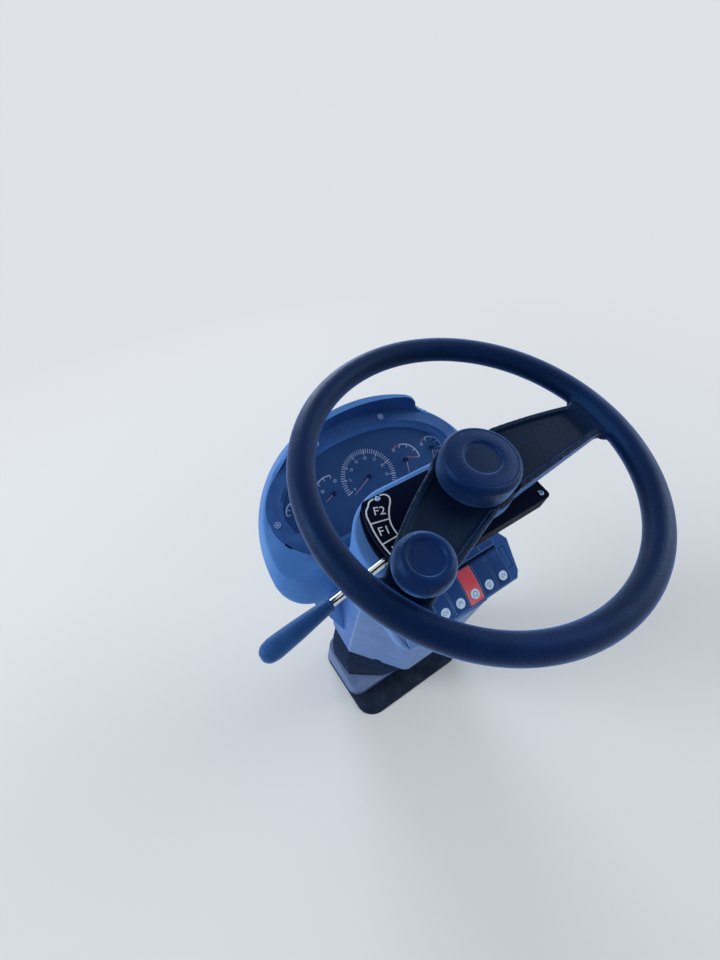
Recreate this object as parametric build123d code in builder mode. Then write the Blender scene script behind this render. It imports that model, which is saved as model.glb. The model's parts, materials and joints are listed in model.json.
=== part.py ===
from build123d import *
import math
import os

os.makedirs("parts", exist_ok=True)

# Tilting steering console of a wheel loader, standing on its floor mount.
# Millimetres. X points to the machine's right, Y forward, Z up.
# The origin is on the cab floor where the steering axis meets it.

# Steering axis and tilt joint
column_tilt = 20.6          # degrees back from vertical, top towards the driver
wheel_height = 740.0        # centre of the wheel rim above the floor
pivot_rise = 130.0          # tilt joint, measured up the steering axis

# Steering wheel
rim_od = 440.0
rim_tube_d = 32.0
wheel_turn = 11.5           # degrees the wheel is turned to the left at rest
spoke_droop = 15.0          # degrees below the rim's cross diameter
spoke_dish = 18.0           # hub face below the middle of the rim
spoke_root = 47.0           # half width of a spoke at the hub
spoke_bulge_half = 40.0     # and above its middle line two thirds of the way out
spoke_bulge_share = 0.65
spoke_upper_half = 28.0     # above and below its middle line where it starts to flare
spoke_lower_half = 25.0
spoke_flare_r = 8.0
spoke_flare_reach = 20.0    # end of the flare inside the rim's centre line
spoke_edge_width = 7.0      # raised edges of a spoke
spoke_edge_rise = 6.0       # and their height above the hub face
spoke_edge_drop = 5.0
spoke_floor_share = 0.8     # dished floor's low end, against the rim's centre line
spoke_floor_drop = 13.0
spoke_belly = 11.0
spoke_end_rise = 5.0        # top of a spoke above the middle of the rim, at the rim
spoke_end_drop = 7.0        # and its underside below it
hub_boss_r = 36.0
hub_margin = 4.0            # hub face showing round the cap
hub_boss_depth = 46.0       # underside of the hub below the middle of the rim
hub_cap_r = 48.5
hub_cap_rise = 17.0         # top of the cap above the middle of the rim
cap_edge_r = 8.0
cap_dish_r = 21.0
cap_dish_depth = 3.0
knob_inset = 48.0           # spinner knob's centre inside the rim's centre line
knob_r = 31.5
knob_top = 35.0
knob_base = 2.0
knob_dish_r = 18.0
knob_dish_depth = 3.0
knob_foot_r = 10.0
knob_crown_r = 10.0
knob_pin_r = 6.0
knob_roof = 12.0            # knob material above the pin
knob_boss_r = 16.0
knob_boss_depth = 12.0
knob_pin_floor = 2.0

# Shafts, jacket and bearings
shaft_r = 10.0
jacket_r = 19.0
jacket_bore_r = 15.0
jacket_plate_x = 140.0
jacket_plate_v = 80.0
jacket_plate_mid = 20.0
jacket_plate_thick = 4.0
bearing_length = 20.0
bearing_wall = 15.0
bearing_top = 42.0
bearing_foot_x = 88.0
bearing_foot_y = 76.0
bearing_foot_thick = 8.0
running_gap = 0.06
ball_r = 20.0
socket_gap = 0.3
socket_wall = 5.0
socket_depth = 17.0
socket_cone = 14.0
collar_wall = 5.0
collar_gap = 3.0
stub_r = 8.5
stub_length = 30.0
stub_reach = 60.0           # how far the lower shaft goes on below the floor

# Gear selector
selector_drop = 70.0        # top of the selector below the middle of the rim
selector_depth = 27.0
selector_r = 131.0
selector_right = 110.0
selector_front = 58.0
selector_rear = 56.0
selector_wall = 4.0
selector_plate_thick = 3.0
selector_corner_r = 6.0
slot_margin = 7.0
slot_spare = 4.0            # degrees of slot past each end of the lever's swing
plate_screw_r = 2.5
plate_screw_side = 11.0
plate_screw_rear = 9.0
plate_screw_inset_x = 34.5
plate_screw_inset_v = 6.0
plate_edge_r = 1.0
plate_shaft_gap = 8.0
lever_angle = 188.0         # neutral, measured anticlockwise from the right
lever_sweep_forward = 30.0
lever_sweep_reverse = 15.0
lever_rod_r = 5.0
lever_tang_r = 4.0
lever_tang_start = 6.0
lever_tang_length = 32.0
lever_reach = 304.0
grip_length = 90.0
grip_bite = 20.0            # how far the rod goes into the grip
grip_root_r = 7.0
grip_end_r = 12.5
grip_collar = 3.0
yoke_r = 36.0
yoke_half_thick = 5.0
yoke_bar_width = 16.0
yoke_bar_length = 37.0
spigot_wall = 9.0
spigot_gap = 2.0

# Neck under the selector
neck_r = 150.0
neck_right = 120.0
neck_front = 80.0
neck_rear = 29.0
neck_draft_angle = 1.5
neck_corner_r = 20.0
neck_shoulder_r = 80.0      # front left corner
neck_edge_r = 6.0
shell_wall = 3.0
throat_inset = 30.0         # opening through the neck's foot, in from the cowl's sides
throat_lip = 8.0

# Instrument binnacle, its face leaning back from the steering axis
face_lean = 24.4
face_forward = 176.0        # face datum ahead of the steering axis
face_drop = 237.0           # face datum below the wheel centre
housing_half_width = 231.0  # at the belt, the widest section
belt_depth = 35.0
belt_level = -83.0
belt_rise = 226.0
belt_bottom = 155.0
belt_corner_r = 60.0
belt_edge_r = 14.0
crest_inset = 12.5          # the face is this much narrower than the belt on each side
crest_level = -50.0
crest_rise = 175.0
crest_bottom = 115.0
crest_corner_r = 55.0
crest_edge_r = 5.0
back_depth = 112.0
back_inset = 66.0
back_level = -85.0
back_rise = 130.0
back_bottom = 132.0
back_corner_r = 42.0
back_edge_r = 20.0
apron_inset = 39.0          # top of the apron inside the belt's sides
apron_drop = 73.5           # and below the face datum
apron_height = 160.0
apron_top_mid = 83.5        # middle of its top ahead of the steering axis
apron_top_depth = 43.0
apron_foot_mid = 40.0
apron_foot_depth = 36.0
apron_foot_margin = 2.0     # past the cowl's sides
band_width = 19.5           # housing face showing outside the bezel
bezel_width = 22.0
bezel_thick = 3.0
bezel_proud = 0.5
bezel_gap = 0.8
bezel_edge_r = 1.0
bezel_foot_share = 0.68     # width of the bezel's foot against its sides
oval_level = -6.0           # middle of the lens and bezel ovals
oval_rise = 92.0
lens_bottom = 77.0
oval_corner_r = 22.0
lens_thick = 3.0
lens_sink = 3.0
lens_seat = 6.0             # width of the step the lens rests on
lens_gap = 0.2
dial_depth = 20.0
dial_thick = 3.0
needle_hub_r = 4.5
needle_hub_rise = 6.0
needle_rise = 4.0
needle_width = 1.6
needle_thick = 1.2
cap_r = 6.0
cap_rise = 1.0
cap_top_x = 68.0
cap_side_y = -8.0
visor_rise = 44.0
visor_shoulder = 105.0      # half width of the visor at its full height
visor_foot = 162.0
visor_splay = 6.0           # how far its inner wall leans out over its height

# Switch tray, parallel to the binnacle face
tray_rise = 90.0
tray_depth = 26.0
tray_top = 178.0
tray_bottom = 262.0
tray_half_width = 128.0
tray_shoulder_x = 13.0
tray_shoulder_y = 19.0
tray_foot_x = 9.0
tray_foot_y = 11.0
tray_end_x = 17.0
tray_chamfer = 2.0
rocker_spacing = 30.0
rocker_count = 7
rocker_first_x = 84.0         # rightmost rocker
rocker_length = 56.0
rocker_gap = 1.4
rocker_mid = 229.0
rocker_rise = 5.0
rocker_end_rise = 1.5
rocker_seat = 20.0
rocker_edge_r = 1.2
hazard_place = 2            # counted from the right, starting at nought
blank_length = 11.0
blank_mid = 188.5
blank_seat = 8.0

# Lower cowl
cowl_half_width = 134.0
cowl_rear_reach = 98.0
cowl_front_reach = 80.0
cowl_bottom = 245.0
cowl_chamfer_x = 79.0
cowl_chamfer_v = 92.0
cowl_front_cut = 20.0
cowl_notch_width = 16.0
cowl_notch_height = 8.0

# Pedestal and floor mount
pedestal_half_width = 140.0
pedestal_half_depth = 70.0
pedestal_top = 80.0
pedestal_corner_r = 26.0
pedestal_edge_r = 2.0
pedestal_opening_x = 196.0
pedestal_opening_v = 84.0
pedestal_opening_r = 10.0
seal_margin = 2.0           # past the pedestal's sides
seal_rear = 135.0
seal_front = 80.0
seal_thick = 5.0
seal_corner_r = 40.0
seal_edge_r = 2.0
seal_gap = 0.5
base_half_width = 114.0
base_half_depth = 56.0
base_thick = 8.0
base_corner_r = 12.0
bolt_spacing_x = 190.0
bolt_spacing_y = 76.0
bolt_hole_r = 6.5
shaft_hole_r = 30.0
fold_count = 14
fold_deep = 5.0
bellows_wall = 3.0
bellows_low_inset = -2.5    # inside the cowl's sides
bellows_high_inset = 4.0
bellows_low_share = 0.66    # depth of the lowest fold against the cowl's
bellows_high_share = 0.96
trunnion_r = 8.0
trunnion_head = 5.0
arm_half_gap = 45.0
arm_thick = 8.0
arm_width = 32.0
arm_yoke_rise = 40.0
arm_yoke_thick = 12.0
arm_yoke_depth = 44.0
cheek_gap = 3.0
cheek_thick = 10.0
cheek_r = 20.0
cheek_foot_rear = 46.0
cheek_foot_front = 40.0
cheek_flange_width = 8.0
cheek_flange_thick = 6.0
cheek_flange_length = 74.0
cheek_flange_mid = -3.0

# Worked out from the sizes above
tilt_cos = math.cos(math.radians(column_tilt))
tilt_sin = math.sin(math.radians(column_tilt))
wheel_s = wheel_height / tilt_cos
rim_tube_r = rim_tube_d / 2
rim_centre_r = rim_od / 2 - rim_tube_r
knob_orbit = rim_centre_r - knob_inset
crest_half_width = housing_half_width - crest_inset
oval_half_width = crest_half_width - band_width - bezel_width
selector_top = wheel_s - selector_drop
selector_floor = selector_top - selector_depth
neck_top = selector_floor
face_s = wheel_s - face_drop
apron_top = face_s - apron_drop
seal_half_width = pedestal_half_width + seal_margin
# Where the tray's underside meets the back of the neck, up the axis
cowl_top = (
    face_s
    + (tray_rise - tray_depth) / math.cos(math.radians(face_lean))
    - (face_forward + neck_rear) * math.tan(math.radians(face_lean))
)

# Column frame: x to the right, v forward across the steering axis, s up along it
column = Plane(origin=(0, 0, 0), x_dir=(1, 0, 0), z_dir=(0, -tilt_sin, tilt_cos))


def column_point(x, v, s):
    return column.from_local_coords(Vector(x, v, s))


def column_direction(v, s):
    return column_point(0, v, s) - column_point(0, 0, 0)


lean_cos = math.cos(math.radians(face_lean))
lean_sin = math.sin(math.radians(face_lean))
face_normal = column_direction(-lean_sin, lean_cos)
face = Plane(
    origin=column_point(0, face_forward, face_s),
    x_dir=(1, 0, 0),
    z_dir=face_normal,
)
tray = face.offset(tray_rise)
wheel = Plane(
    origin=column_point(0, 0, wheel_s),
    x_dir=Vector(math.cos(math.radians(wheel_turn)), 0, 0)
    + column_direction(math.sin(math.radians(wheel_turn)), 0),
    z_dir=column_direction(0, 1),
)
wheel_section = Plane(origin=wheel.origin, x_dir=wheel.x_dir, z_dir=-wheel.y_dir)
column_axis = Axis(column_point(0, 0, 0), column_direction(0, 1))
wheel_axis = Axis(wheel.origin, wheel.z_dir)
face_axis = Axis(face.origin, face.z_dir)


def axis_section(direction_deg, s=0.0):
    """Plane holding the steering axis: local x radial at this angle, local y up the axis."""
    turn = math.radians(direction_deg)
    radial = Vector(math.cos(turn), 0, 0) + column_direction(math.sin(turn), 0)
    up = column_direction(0, 1)
    return Plane(origin=column_point(0, 0, s), x_dir=radial, z_dir=radial.cross(up))


def save(piece, name):
    piece.label = name
    export_step(piece, "parts/" + name + ".step")


# Base plate on the cab floor
with BuildPart() as base_plate:
    with BuildSketch(Plane.XY):
        RectangleRounded(2 * base_half_width, 2 * base_half_depth, base_corner_r)
        Circle(shaft_hole_r, mode=Mode.SUBTRACT)
        with GridLocations(bolt_spacing_x, bolt_spacing_y, 2, 2):
            Circle(bolt_hole_r, mode=Mode.SUBTRACT)
    extrude(amount=base_thick)
save(base_plate.part, "base_plate")

# Rubber floor seal round the base plate
seal_mid_y = (seal_front - seal_rear) / 2
with BuildPart() as floor_seal:
    with BuildSketch(Plane.XY):
        with Locations((0, seal_mid_y)):
            RectangleRounded(2 * seal_half_width, seal_front + seal_rear, seal_corner_r)
    extrude(amount=seal_thick)
    fillet(floor_seal.edges().group_by(Axis.Z)[-1], seal_edge_r)
    with BuildSketch(Plane.XY):
        RectangleRounded(
            2 * (base_half_width + seal_gap),
            2 * (base_half_depth + seal_gap),
            base_corner_r + seal_gap,
        )
    extrude(amount=seal_thick, mode=Mode.SUBTRACT)
save(floor_seal.part, "floor_seal")

# Pedestal cover, a leaning shell that stands on the seal
with BuildPart() as pedestal_cover:
    with BuildSketch(column.offset(-pedestal_half_depth)):
        RectangleRounded(2 * pedestal_half_width, 2 * pedestal_half_depth, pedestal_corner_r)
    extrude(amount=pedestal_half_depth + pedestal_top)
    fillet(pedestal_cover.faces().sort_by(column_axis)[-1].edges(), pedestal_edge_r)
    with BuildSketch(column.offset(-pedestal_half_depth)):
        RectangleRounded(
            2 * (pedestal_half_width - shell_wall),
            2 * (pedestal_half_depth - shell_wall),
            pedestal_corner_r - shell_wall,
        )
    extrude(amount=pedestal_half_depth + pedestal_top - shell_wall, mode=Mode.SUBTRACT)
    with BuildSketch(column):
        RectangleRounded(pedestal_opening_x, pedestal_opening_v, pedestal_opening_r)
    extrude(amount=pedestal_top, mode=Mode.SUBTRACT)
    split(bisect_by=Plane.XY.offset(seal_thick), keep=Keep.TOP)
save(pedestal_cover.part, "pedestal_cover")

# Bearing for the lower shaft, on the base plate
with BuildPart() as shaft_bearing:
    with BuildSketch(column.offset(-bearing_length)):
        Circle(shaft_r + bearing_wall)
        Circle(shaft_r + running_gap, mode=Mode.SUBTRACT)
    extrude(amount=bearing_top + bearing_length)
    with BuildSketch(Plane.XY.offset(base_thick)):
        RectangleRounded(bearing_foot_x, bearing_foot_y, bearing_foot_thick)
        Circle(shaft_hole_r - 2, mode=Mode.SUBTRACT)
    extrude(amount=bearing_foot_thick)
    split(bisect_by=Plane.XY.offset(base_thick), keep=Keep.TOP)
save(shaft_bearing.part, "shaft_bearing")

# Two cheeks that hold the tilt joint
pivot = column_point(0, 0, pivot_rise)
cheek_inner = arm_half_gap + arm_thick + cheek_gap
cheek_outer = cheek_inner + cheek_thick
with BuildPart() as pivot_bracket:
    with BuildSketch(Plane(origin=(cheek_inner, 0, 0), x_dir=(0, 1, 0), z_dir=(1, 0, 0))):
        with BuildLine():
            Polyline(
                (-cheek_foot_rear, base_thick),
                (cheek_foot_front, base_thick),
                (pivot.Y + cheek_r, pivot.Z),
                (pivot.Y - cheek_r, pivot.Z),
                close=True,
            )
        make_face()
        with Locations((pivot.Y, pivot.Z)):
            Circle(cheek_r)
            Circle(trunnion_r, mode=Mode.SUBTRACT)
    extrude(amount=cheek_thick)
    with BuildSketch(Plane.XY.offset(base_thick)):
        with Locations((cheek_inner + (cheek_thick + cheek_flange_width) / 2, cheek_flange_mid)):
            Rectangle(cheek_thick + cheek_flange_width, cheek_flange_length)
    extrude(amount=cheek_flange_thick)
    mirror(about=Plane.YZ)
save(pivot_bracket.part, "pivot_bracket")

# Trunnion pins, one through each cheek into the column's arm
with BuildPart() as trunnion_pins:
    with BuildSketch(Plane(origin=(arm_half_gap, pivot.Y, pivot.Z), x_dir=(0, 1, 0), z_dir=(1, 0, 0))):
        Circle(trunnion_r)
    extrude(amount=cheek_outer - arm_half_gap)
    with BuildSketch(Plane(origin=(cheek_outer, pivot.Y, pivot.Z), x_dir=(0, 1, 0), z_dir=(1, 0, 0))):
        Circle(trunnion_r + trunnion_head)
    extrude(amount=trunnion_head)
    mirror(about=Plane.YZ)
save(trunnion_pins.part, "trunnion_pins")


def cowl_outline(inset=0.0, scale_v=1.0):
    """Half-open column section, as a list of corners, shrunk by inset."""
    side = cowl_half_width - inset
    rear = -(cowl_rear_reach - inset) * scale_v
    front = (cowl_front_reach - inset) * scale_v
    cut_x = cowl_chamfer_x * side / cowl_half_width
    cut_v = cowl_chamfer_v * scale_v
    return [
        (side, rear + cut_v),
        (side, front - cowl_front_cut),
        (side - cowl_front_cut, front),
        (-side + cowl_front_cut, front),
        (-side, front - cowl_front_cut),
        (-side, rear + cut_v),
        (-side + cut_x, rear),
        (side - cut_x, rear),
    ]


# Bellows between the pedestal and the cowl: each fold is two tapered slices
bellows_gap = 0.5
fold_pitch = (cowl_bottom - pedestal_top - 2 * bellows_gap) / fold_count
fold_slope = math.degrees(math.atan(2 * fold_deep / fold_pitch))
with BuildPart() as bellows:
    for fold in range(fold_count):
        share = fold / (fold_count - 1)
        inset = bellows_low_inset + (bellows_high_inset - bellows_low_inset) * share
        depth_share = bellows_low_share + (bellows_high_share - bellows_low_share) * share
        middle = pedestal_top + bellows_gap + (fold + 0.5) * fold_pitch
        for way in (1, -1):
            fold_plane = Plane(
                origin=column_point(0, 0, middle),
                x_dir=(1, 0, 0),
                z_dir=column_direction(0, way),
            )
            with BuildSketch(fold_plane):
                with BuildLine():
                    Polyline(*[(x, way * v) for x, v in cowl_outline(inset, depth_share)], close=True)
                make_face()
            extrude(amount=fold_pitch / 2, taper=fold_slope)
    with BuildSketch(column.offset(pedestal_top - 1)):
        with BuildLine():
            bellows_bore = bellows_high_inset + fold_deep + bellows_wall
            Polyline(*cowl_outline(bellows_bore, bellows_low_share), close=True)
        make_face()
    extrude(amount=cowl_bottom - pedestal_top + 2, mode=Mode.SUBTRACT)
save(bellows.part, "bellows")

# Jacket tube of the column, with bearings at both ends and the tilt arms
yoke_rise = pivot_rise + arm_yoke_rise
with BuildPart() as column_jacket:
    with BuildSketch(column.offset(yoke_rise)):
        Circle(jacket_r)
    extrude(amount=neck_top - yoke_rise + selector_wall)
    with BuildSketch(column.offset(neck_top - shell_wall - jacket_plate_thick)):
        with Locations((0, jacket_plate_mid)):
            RectangleRounded(jacket_plate_x, jacket_plate_v, 6)
    extrude(amount=jacket_plate_thick)
    with BuildSketch(column.offset(yoke_rise)):
        Rectangle(2 * (arm_half_gap + arm_thick), arm_yoke_depth)
    extrude(amount=arm_yoke_thick)
    for side in (1, -1):
        arm_x = side * (arm_half_gap + arm_thick / 2)
        with BuildSketch(Plane(origin=(arm_x, 0, 0), x_dir=column_direction(1, 0), z_dir=(1, 0, 0))):
            with Locations((0, (pivot_rise + yoke_rise) / 2)):
                Rectangle(arm_width, yoke_rise - pivot_rise)
            with Locations((0, pivot_rise)):
                Circle(arm_width / 2)
        extrude(amount=arm_thick / 2, both=True)
    with BuildSketch(column.offset(yoke_rise - 1)):
        Circle(jacket_bore_r)
    extrude(amount=neck_top - yoke_rise + selector_wall + 2, mode=Mode.SUBTRACT)
    for foot in (yoke_rise, neck_top + selector_wall - bearing_length):
        with BuildSketch(column.offset(foot)):
            Circle(jacket_bore_r)
            Circle(shaft_r + running_gap, mode=Mode.SUBTRACT)
        extrude(amount=bearing_length)
    with BuildSketch(Plane(origin=(0, 0, 0), x_dir=column_direction(1, 0), z_dir=(1, 0, 0))):
        with Locations((0, pivot_rise)):
            Circle(trunnion_r + running_gap)
    extrude(amount=arm_half_gap + arm_thick + 1, both=True, mode=Mode.SUBTRACT)
save(column_jacket.part, "column_jacket")

# Lower shaft with the ball of the column joint on its top
with BuildPart() as lower_shaft:
    with BuildSketch(axis_section(0)):
        with BuildLine():
            ball_foot = math.sqrt(ball_r ** 2 - shaft_r ** 2)
            Polyline(
                (0, pivot_rise + ball_r),
                (0, -stub_reach - stub_length),
                (stub_r, -stub_reach - stub_length),
                (stub_r, -stub_reach),
                (shaft_r, -stub_reach),
                (shaft_r, pivot_rise - ball_foot),
            )
            RadiusArc((shaft_r, pivot_rise - ball_foot), (0, pivot_rise + ball_r), -ball_r, short_sagitta=False)
        make_face()
    revolve(axis=column_axis)
save(lower_shaft.part, "lower_shaft")

# Upper shaft: a socket over the ball at its foot, the wheel's taper at its head
socket_r = ball_r + socket_gap
socket_foot = pivot_rise + 1
hub_foot = wheel_s - hub_boss_depth
shaft_head = wheel_s - spoke_dish - 2
with BuildPart() as steering_shaft:
    with BuildSketch(axis_section(0)):
        with BuildLine():
            Polyline(
                (socket_r, socket_foot),
                (socket_r + socket_wall, socket_foot),
                (socket_r + socket_wall, socket_foot + socket_depth),
                (shaft_r, socket_foot + socket_depth + socket_cone),
                (shaft_r, shaft_head),
                (0, shaft_head),
                (0, socket_foot),
                close=True,
            )
        make_face()
    revolve(axis=column_axis)
    with BuildSketch(column.offset(selector_top + collar_gap)):
        Circle(shaft_r + collar_wall)
    extrude(amount=hub_foot - selector_top - collar_gap)
    with Locations(column_point(0, 0, pivot_rise)):
        Sphere(socket_r, mode=Mode.SUBTRACT)
save(steering_shaft.part, "steering_shaft")

# Steering wheel: rim, two dished spokes and hub in one moulding
knob_heading = math.radians(180 + spoke_droop)
knob_x = knob_orbit * math.cos(knob_heading)
knob_y = knob_orbit * math.sin(knob_heading)
pin_foot = -knob_boss_depth + knob_pin_floor
hub_rim_r = hub_cap_r + hub_margin
spoke_tip = rim_centre_r - spoke_flare_reach
spoke_waist = spoke_tip - spoke_flare_r
spoke_upper_top = spoke_upper_half + spoke_flare_r
spoke_lower_top = spoke_lower_half + spoke_flare_r


def upper_edge(inset=0.0):
    return ThreePointArc(
        (0, spoke_root - inset),
        (spoke_waist * spoke_bulge_share, spoke_bulge_half - inset),
        (spoke_waist, spoke_upper_half - inset),
    )


# Dished floor of both spokes, between their raised edges
with BuildPart() as spoke_floor:
    with BuildSketch(wheel):
        with BuildSketch(mode=Mode.PRIVATE) as floor_outline:
            with BuildLine():
                upper = upper_edge(spoke_edge_width)
                Polyline(
                    upper @ 1,
                    (rim_centre_r, spoke_upper_half - spoke_edge_width),
                    (rim_centre_r, spoke_edge_width - spoke_lower_half),
                    (spoke_waist, spoke_edge_width - spoke_lower_half),
                    (0, spoke_edge_width - spoke_root),
                    upper @ 0,
                )
            make_face()
        add(floor_outline.sketch.rotate(Axis.Z, -spoke_droop))
        mirror(about=Plane.YZ)
        Circle(hub_rim_r)
    extrude(amount=rim_tube_d, both=True)
    with BuildSketch(wheel_section):
        with BuildLine():
            Polyline(
                (0, -spoke_dish),
                (hub_rim_r, -spoke_dish),
                (rim_centre_r * spoke_floor_share, spoke_end_rise - spoke_floor_drop),
                (rim_centre_r - rim_tube_r, spoke_end_rise),
                (rim_centre_r - rim_tube_r, rim_tube_d),
                (0, rim_tube_d),
                close=True,
            )
        make_face()
    revolve(axis=wheel_axis, mode=Mode.INTERSECT)

with BuildPart() as steering_wheel:
    with BuildSketch(wheel):
        with BuildSketch(mode=Mode.PRIVATE) as spoke:
            with BuildLine():
                upper = upper_edge()
                flare = TangentArc(upper @ 1, (spoke_tip, spoke_upper_top), tangent=upper % 1)
                tip = Line(flare @ 1, (rim_centre_r, spoke_upper_top))
                end = Line(tip @ 1, (rim_centre_r, -spoke_lower_top))
                foot = Line(end @ 1, (spoke_tip, -spoke_lower_top))
                lower = Line((0, -spoke_root), (spoke_waist, -spoke_lower_half))
                TangentArc(lower @ 1, foot @ 1, tangent=lower % 1)
                Line(lower @ 0, upper @ 0)
            make_face()
        add(spoke.sketch.rotate(Axis.Z, -spoke_droop))
        mirror(about=Plane.YZ)
        Circle(hub_rim_r)
    extrude(amount=hub_boss_depth + spoke_dish, both=True)
    with BuildSketch(wheel_section):
        with BuildLine():
            Polyline(
                (0, spoke_edge_rise - spoke_dish),
                (hub_rim_r, spoke_edge_rise - spoke_dish),
                (spoke_waist, spoke_end_rise - spoke_edge_drop),
                (rim_centre_r, spoke_end_rise),
                (rim_centre_r, -spoke_end_drop),
                (spoke_waist, -spoke_end_drop - spoke_belly),
                (hub_rim_r + spoke_belly, -hub_boss_depth + spoke_belly),
                (hub_boss_r, -hub_boss_depth),
                (0, -hub_boss_depth),
                close=True,
            )
        make_face()
    revolve(axis=wheel_axis, mode=Mode.INTERSECT)
    add(spoke_floor.part, mode=Mode.SUBTRACT)
    with BuildSketch(wheel_section):
        with Locations((rim_centre_r, 0)):
            Circle(rim_tube_r)
    revolve(axis=wheel_axis)
    with BuildSketch(wheel.offset(-knob_boss_depth)):
        with Locations((knob_x, knob_y)):
            Circle(knob_boss_r)
    extrude(amount=knob_boss_depth + knob_base - socket_gap)
    with BuildSketch(wheel.offset(pin_foot)):
        with Locations((knob_x, knob_y)):
            Circle(knob_pin_r + running_gap)
    extrude(amount=knob_top - pin_foot, mode=Mode.SUBTRACT)
    with BuildSketch(wheel.offset(-hub_boss_depth - 1)):
        Circle(shaft_r + running_gap)
    extrude(amount=hub_boss_depth - spoke_dish - 0.5, mode=Mode.SUBTRACT)
save(steering_wheel.part, "steering_wheel")

# Hub cap, a deep round pad with a dished middle
with BuildPart() as hub_cap:
    with BuildSketch(wheel_section):
        with BuildLine():
            side = Polyline((0, -spoke_dish), (hub_cap_r, -spoke_dish), (hub_cap_r, hub_cap_rise - cap_edge_r))
            edge = TangentArc(side @ 1, (hub_cap_r - cap_edge_r, hub_cap_rise), tangent=(0, 1))
            Polyline(
                edge @ 1,
                (cap_dish_r + cap_dish_depth, hub_cap_rise),
                (cap_dish_r, hub_cap_rise - cap_dish_depth),
                (0, hub_cap_rise - cap_dish_depth),
                side @ 0,
            )
        make_face()
    revolve(axis=wheel_axis)
save(hub_cap.part, "hub_cap")

# Spinner knob on the left spoke, turning on its own pin
knob_point = wheel.from_local_coords(Vector(knob_x, knob_y, 0))
knob_section = Plane(origin=knob_point, x_dir=wheel.x_dir, z_dir=-wheel.y_dir)
knob_axis = Axis(knob_point, wheel.z_dir)
knob_socket_top = knob_top - knob_roof
with BuildPart() as knob_pin:
    with BuildSketch(wheel.offset(pin_foot)):
        with Locations((knob_x, knob_y)):
            Circle(knob_pin_r)
    extrude(amount=knob_socket_top - socket_gap - pin_foot)
save(knob_pin.part, "knob_pin")

with BuildPart() as spinner_knob:
    with BuildSketch(knob_section):
        with BuildLine():
            base = Polyline(
                (0, knob_socket_top),
                (knob_pin_r + running_gap, knob_socket_top),
                (knob_pin_r + running_gap, knob_base),
                (knob_r - knob_foot_r, knob_base),
            )
            foot = TangentArc(base @ 1, (knob_r, knob_base + knob_foot_r), tangent=(1, 0))
            wall = Line(foot @ 1, (knob_r, knob_top - knob_crown_r))
            crown = TangentArc(wall @ 1, (knob_r - knob_crown_r, knob_top), tangent=(0, 1))
            Polyline(
                crown @ 1,
                (knob_dish_r + knob_dish_depth, knob_top),
                (knob_dish_r, knob_top - knob_dish_depth),
                (0, knob_top - knob_dish_depth),
                base @ 0,
            )
        make_face()
    revolve(axis=knob_axis)
save(spinner_knob.part, "spinner_knob")

# Gear selector: a flat box with an open slot round its left side
slot_low = selector_floor + slot_margin
slot_high = selector_top - slot_margin
slot_reach = selector_r + selector_wall


def selector_sketch(inset=0.0):
    with BuildSketch(mode=Mode.PRIVATE) as outline:
        Circle(selector_r - inset)
        with Locations(((selector_right - inset - selector_r) / 2, (selector_front - selector_rear) / 2)):
            Rectangle(
                selector_right - inset + selector_r,
                selector_front + selector_rear - 2 * inset,
                mode=Mode.INTERSECT,
            )
        fillet(outline.vertices(), selector_corner_r - inset)
    return outline.sketch


with BuildPart() as selector_box:
    with BuildSketch(column.offset(selector_floor)):
        add(selector_sketch())
    extrude(amount=selector_depth - selector_plate_thick)
    with BuildSketch(column.offset(selector_floor + selector_plate_thick)):
        add(selector_sketch(selector_wall))
    extrude(amount=selector_depth, mode=Mode.SUBTRACT)
    with BuildSketch(column.offset(slot_low)):
        with BuildLine():
            slot_start = math.radians(lever_angle - lever_sweep_forward - slot_spare)
            slot_end = math.radians(lever_angle + lever_sweep_reverse + slot_spare)
            Polyline(
                (0, 0),
                (slot_reach * math.cos(slot_start), slot_reach * math.sin(slot_start)),
                (-2 * slot_reach, 0),
                (slot_reach * math.cos(slot_end), slot_reach * math.sin(slot_end)),
                close=True,
            )
        make_face()
    extrude(amount=slot_high - slot_low, mode=Mode.SUBTRACT)
    with BuildSketch(column.offset(selector_floor)):
        Circle(jacket_r)
    extrude(amount=selector_plate_thick, mode=Mode.SUBTRACT)
save(selector_box.part, "selector_box")

# Top plate of the selector, with the shaft's hole and two screw holes
plate_screws = [
    (plate_screw_inset_x - selector_r, selector_front - plate_screw_inset_v),
    (selector_right - plate_screw_side, plate_screw_rear - selector_rear),
]
with BuildPart() as selector_plate:
    with BuildSketch(column.offset(selector_top - selector_plate_thick)):
        add(selector_sketch())
    extrude(amount=selector_plate_thick)
    fillet(selector_plate.faces().sort_by(column_axis)[-1].edges(), plate_edge_r)
    with BuildSketch(column.offset(selector_top - selector_plate_thick)):
        Circle(shaft_r + plate_shaft_gap)
        with Locations(*plate_screws):
            Circle(plate_screw_r)
    extrude(amount=selector_plate_thick, mode=Mode.SUBTRACT)
save(selector_plate.part, "selector_plate")

# Lever: a ring on the column jacket's spigot, a chromed rod and a grip
lever_mid = (slot_low + slot_high) / 2
spigot_r = shaft_r + spigot_wall
lever_section = axis_section(lever_angle, lever_mid)
lever_axis = Axis(lever_section.origin, lever_section.x_dir)
tang_start = yoke_r + lever_tang_start
tang_end = tang_start + lever_tang_length
grip_start = lever_reach - grip_length
rod_end = grip_start + grip_bite


def lever_plane(reach):
    origin = lever_section.origin + lever_section.x_dir * reach
    return Plane(origin=origin, x_dir=lever_section.z_dir, z_dir=lever_section.x_dir)


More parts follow.
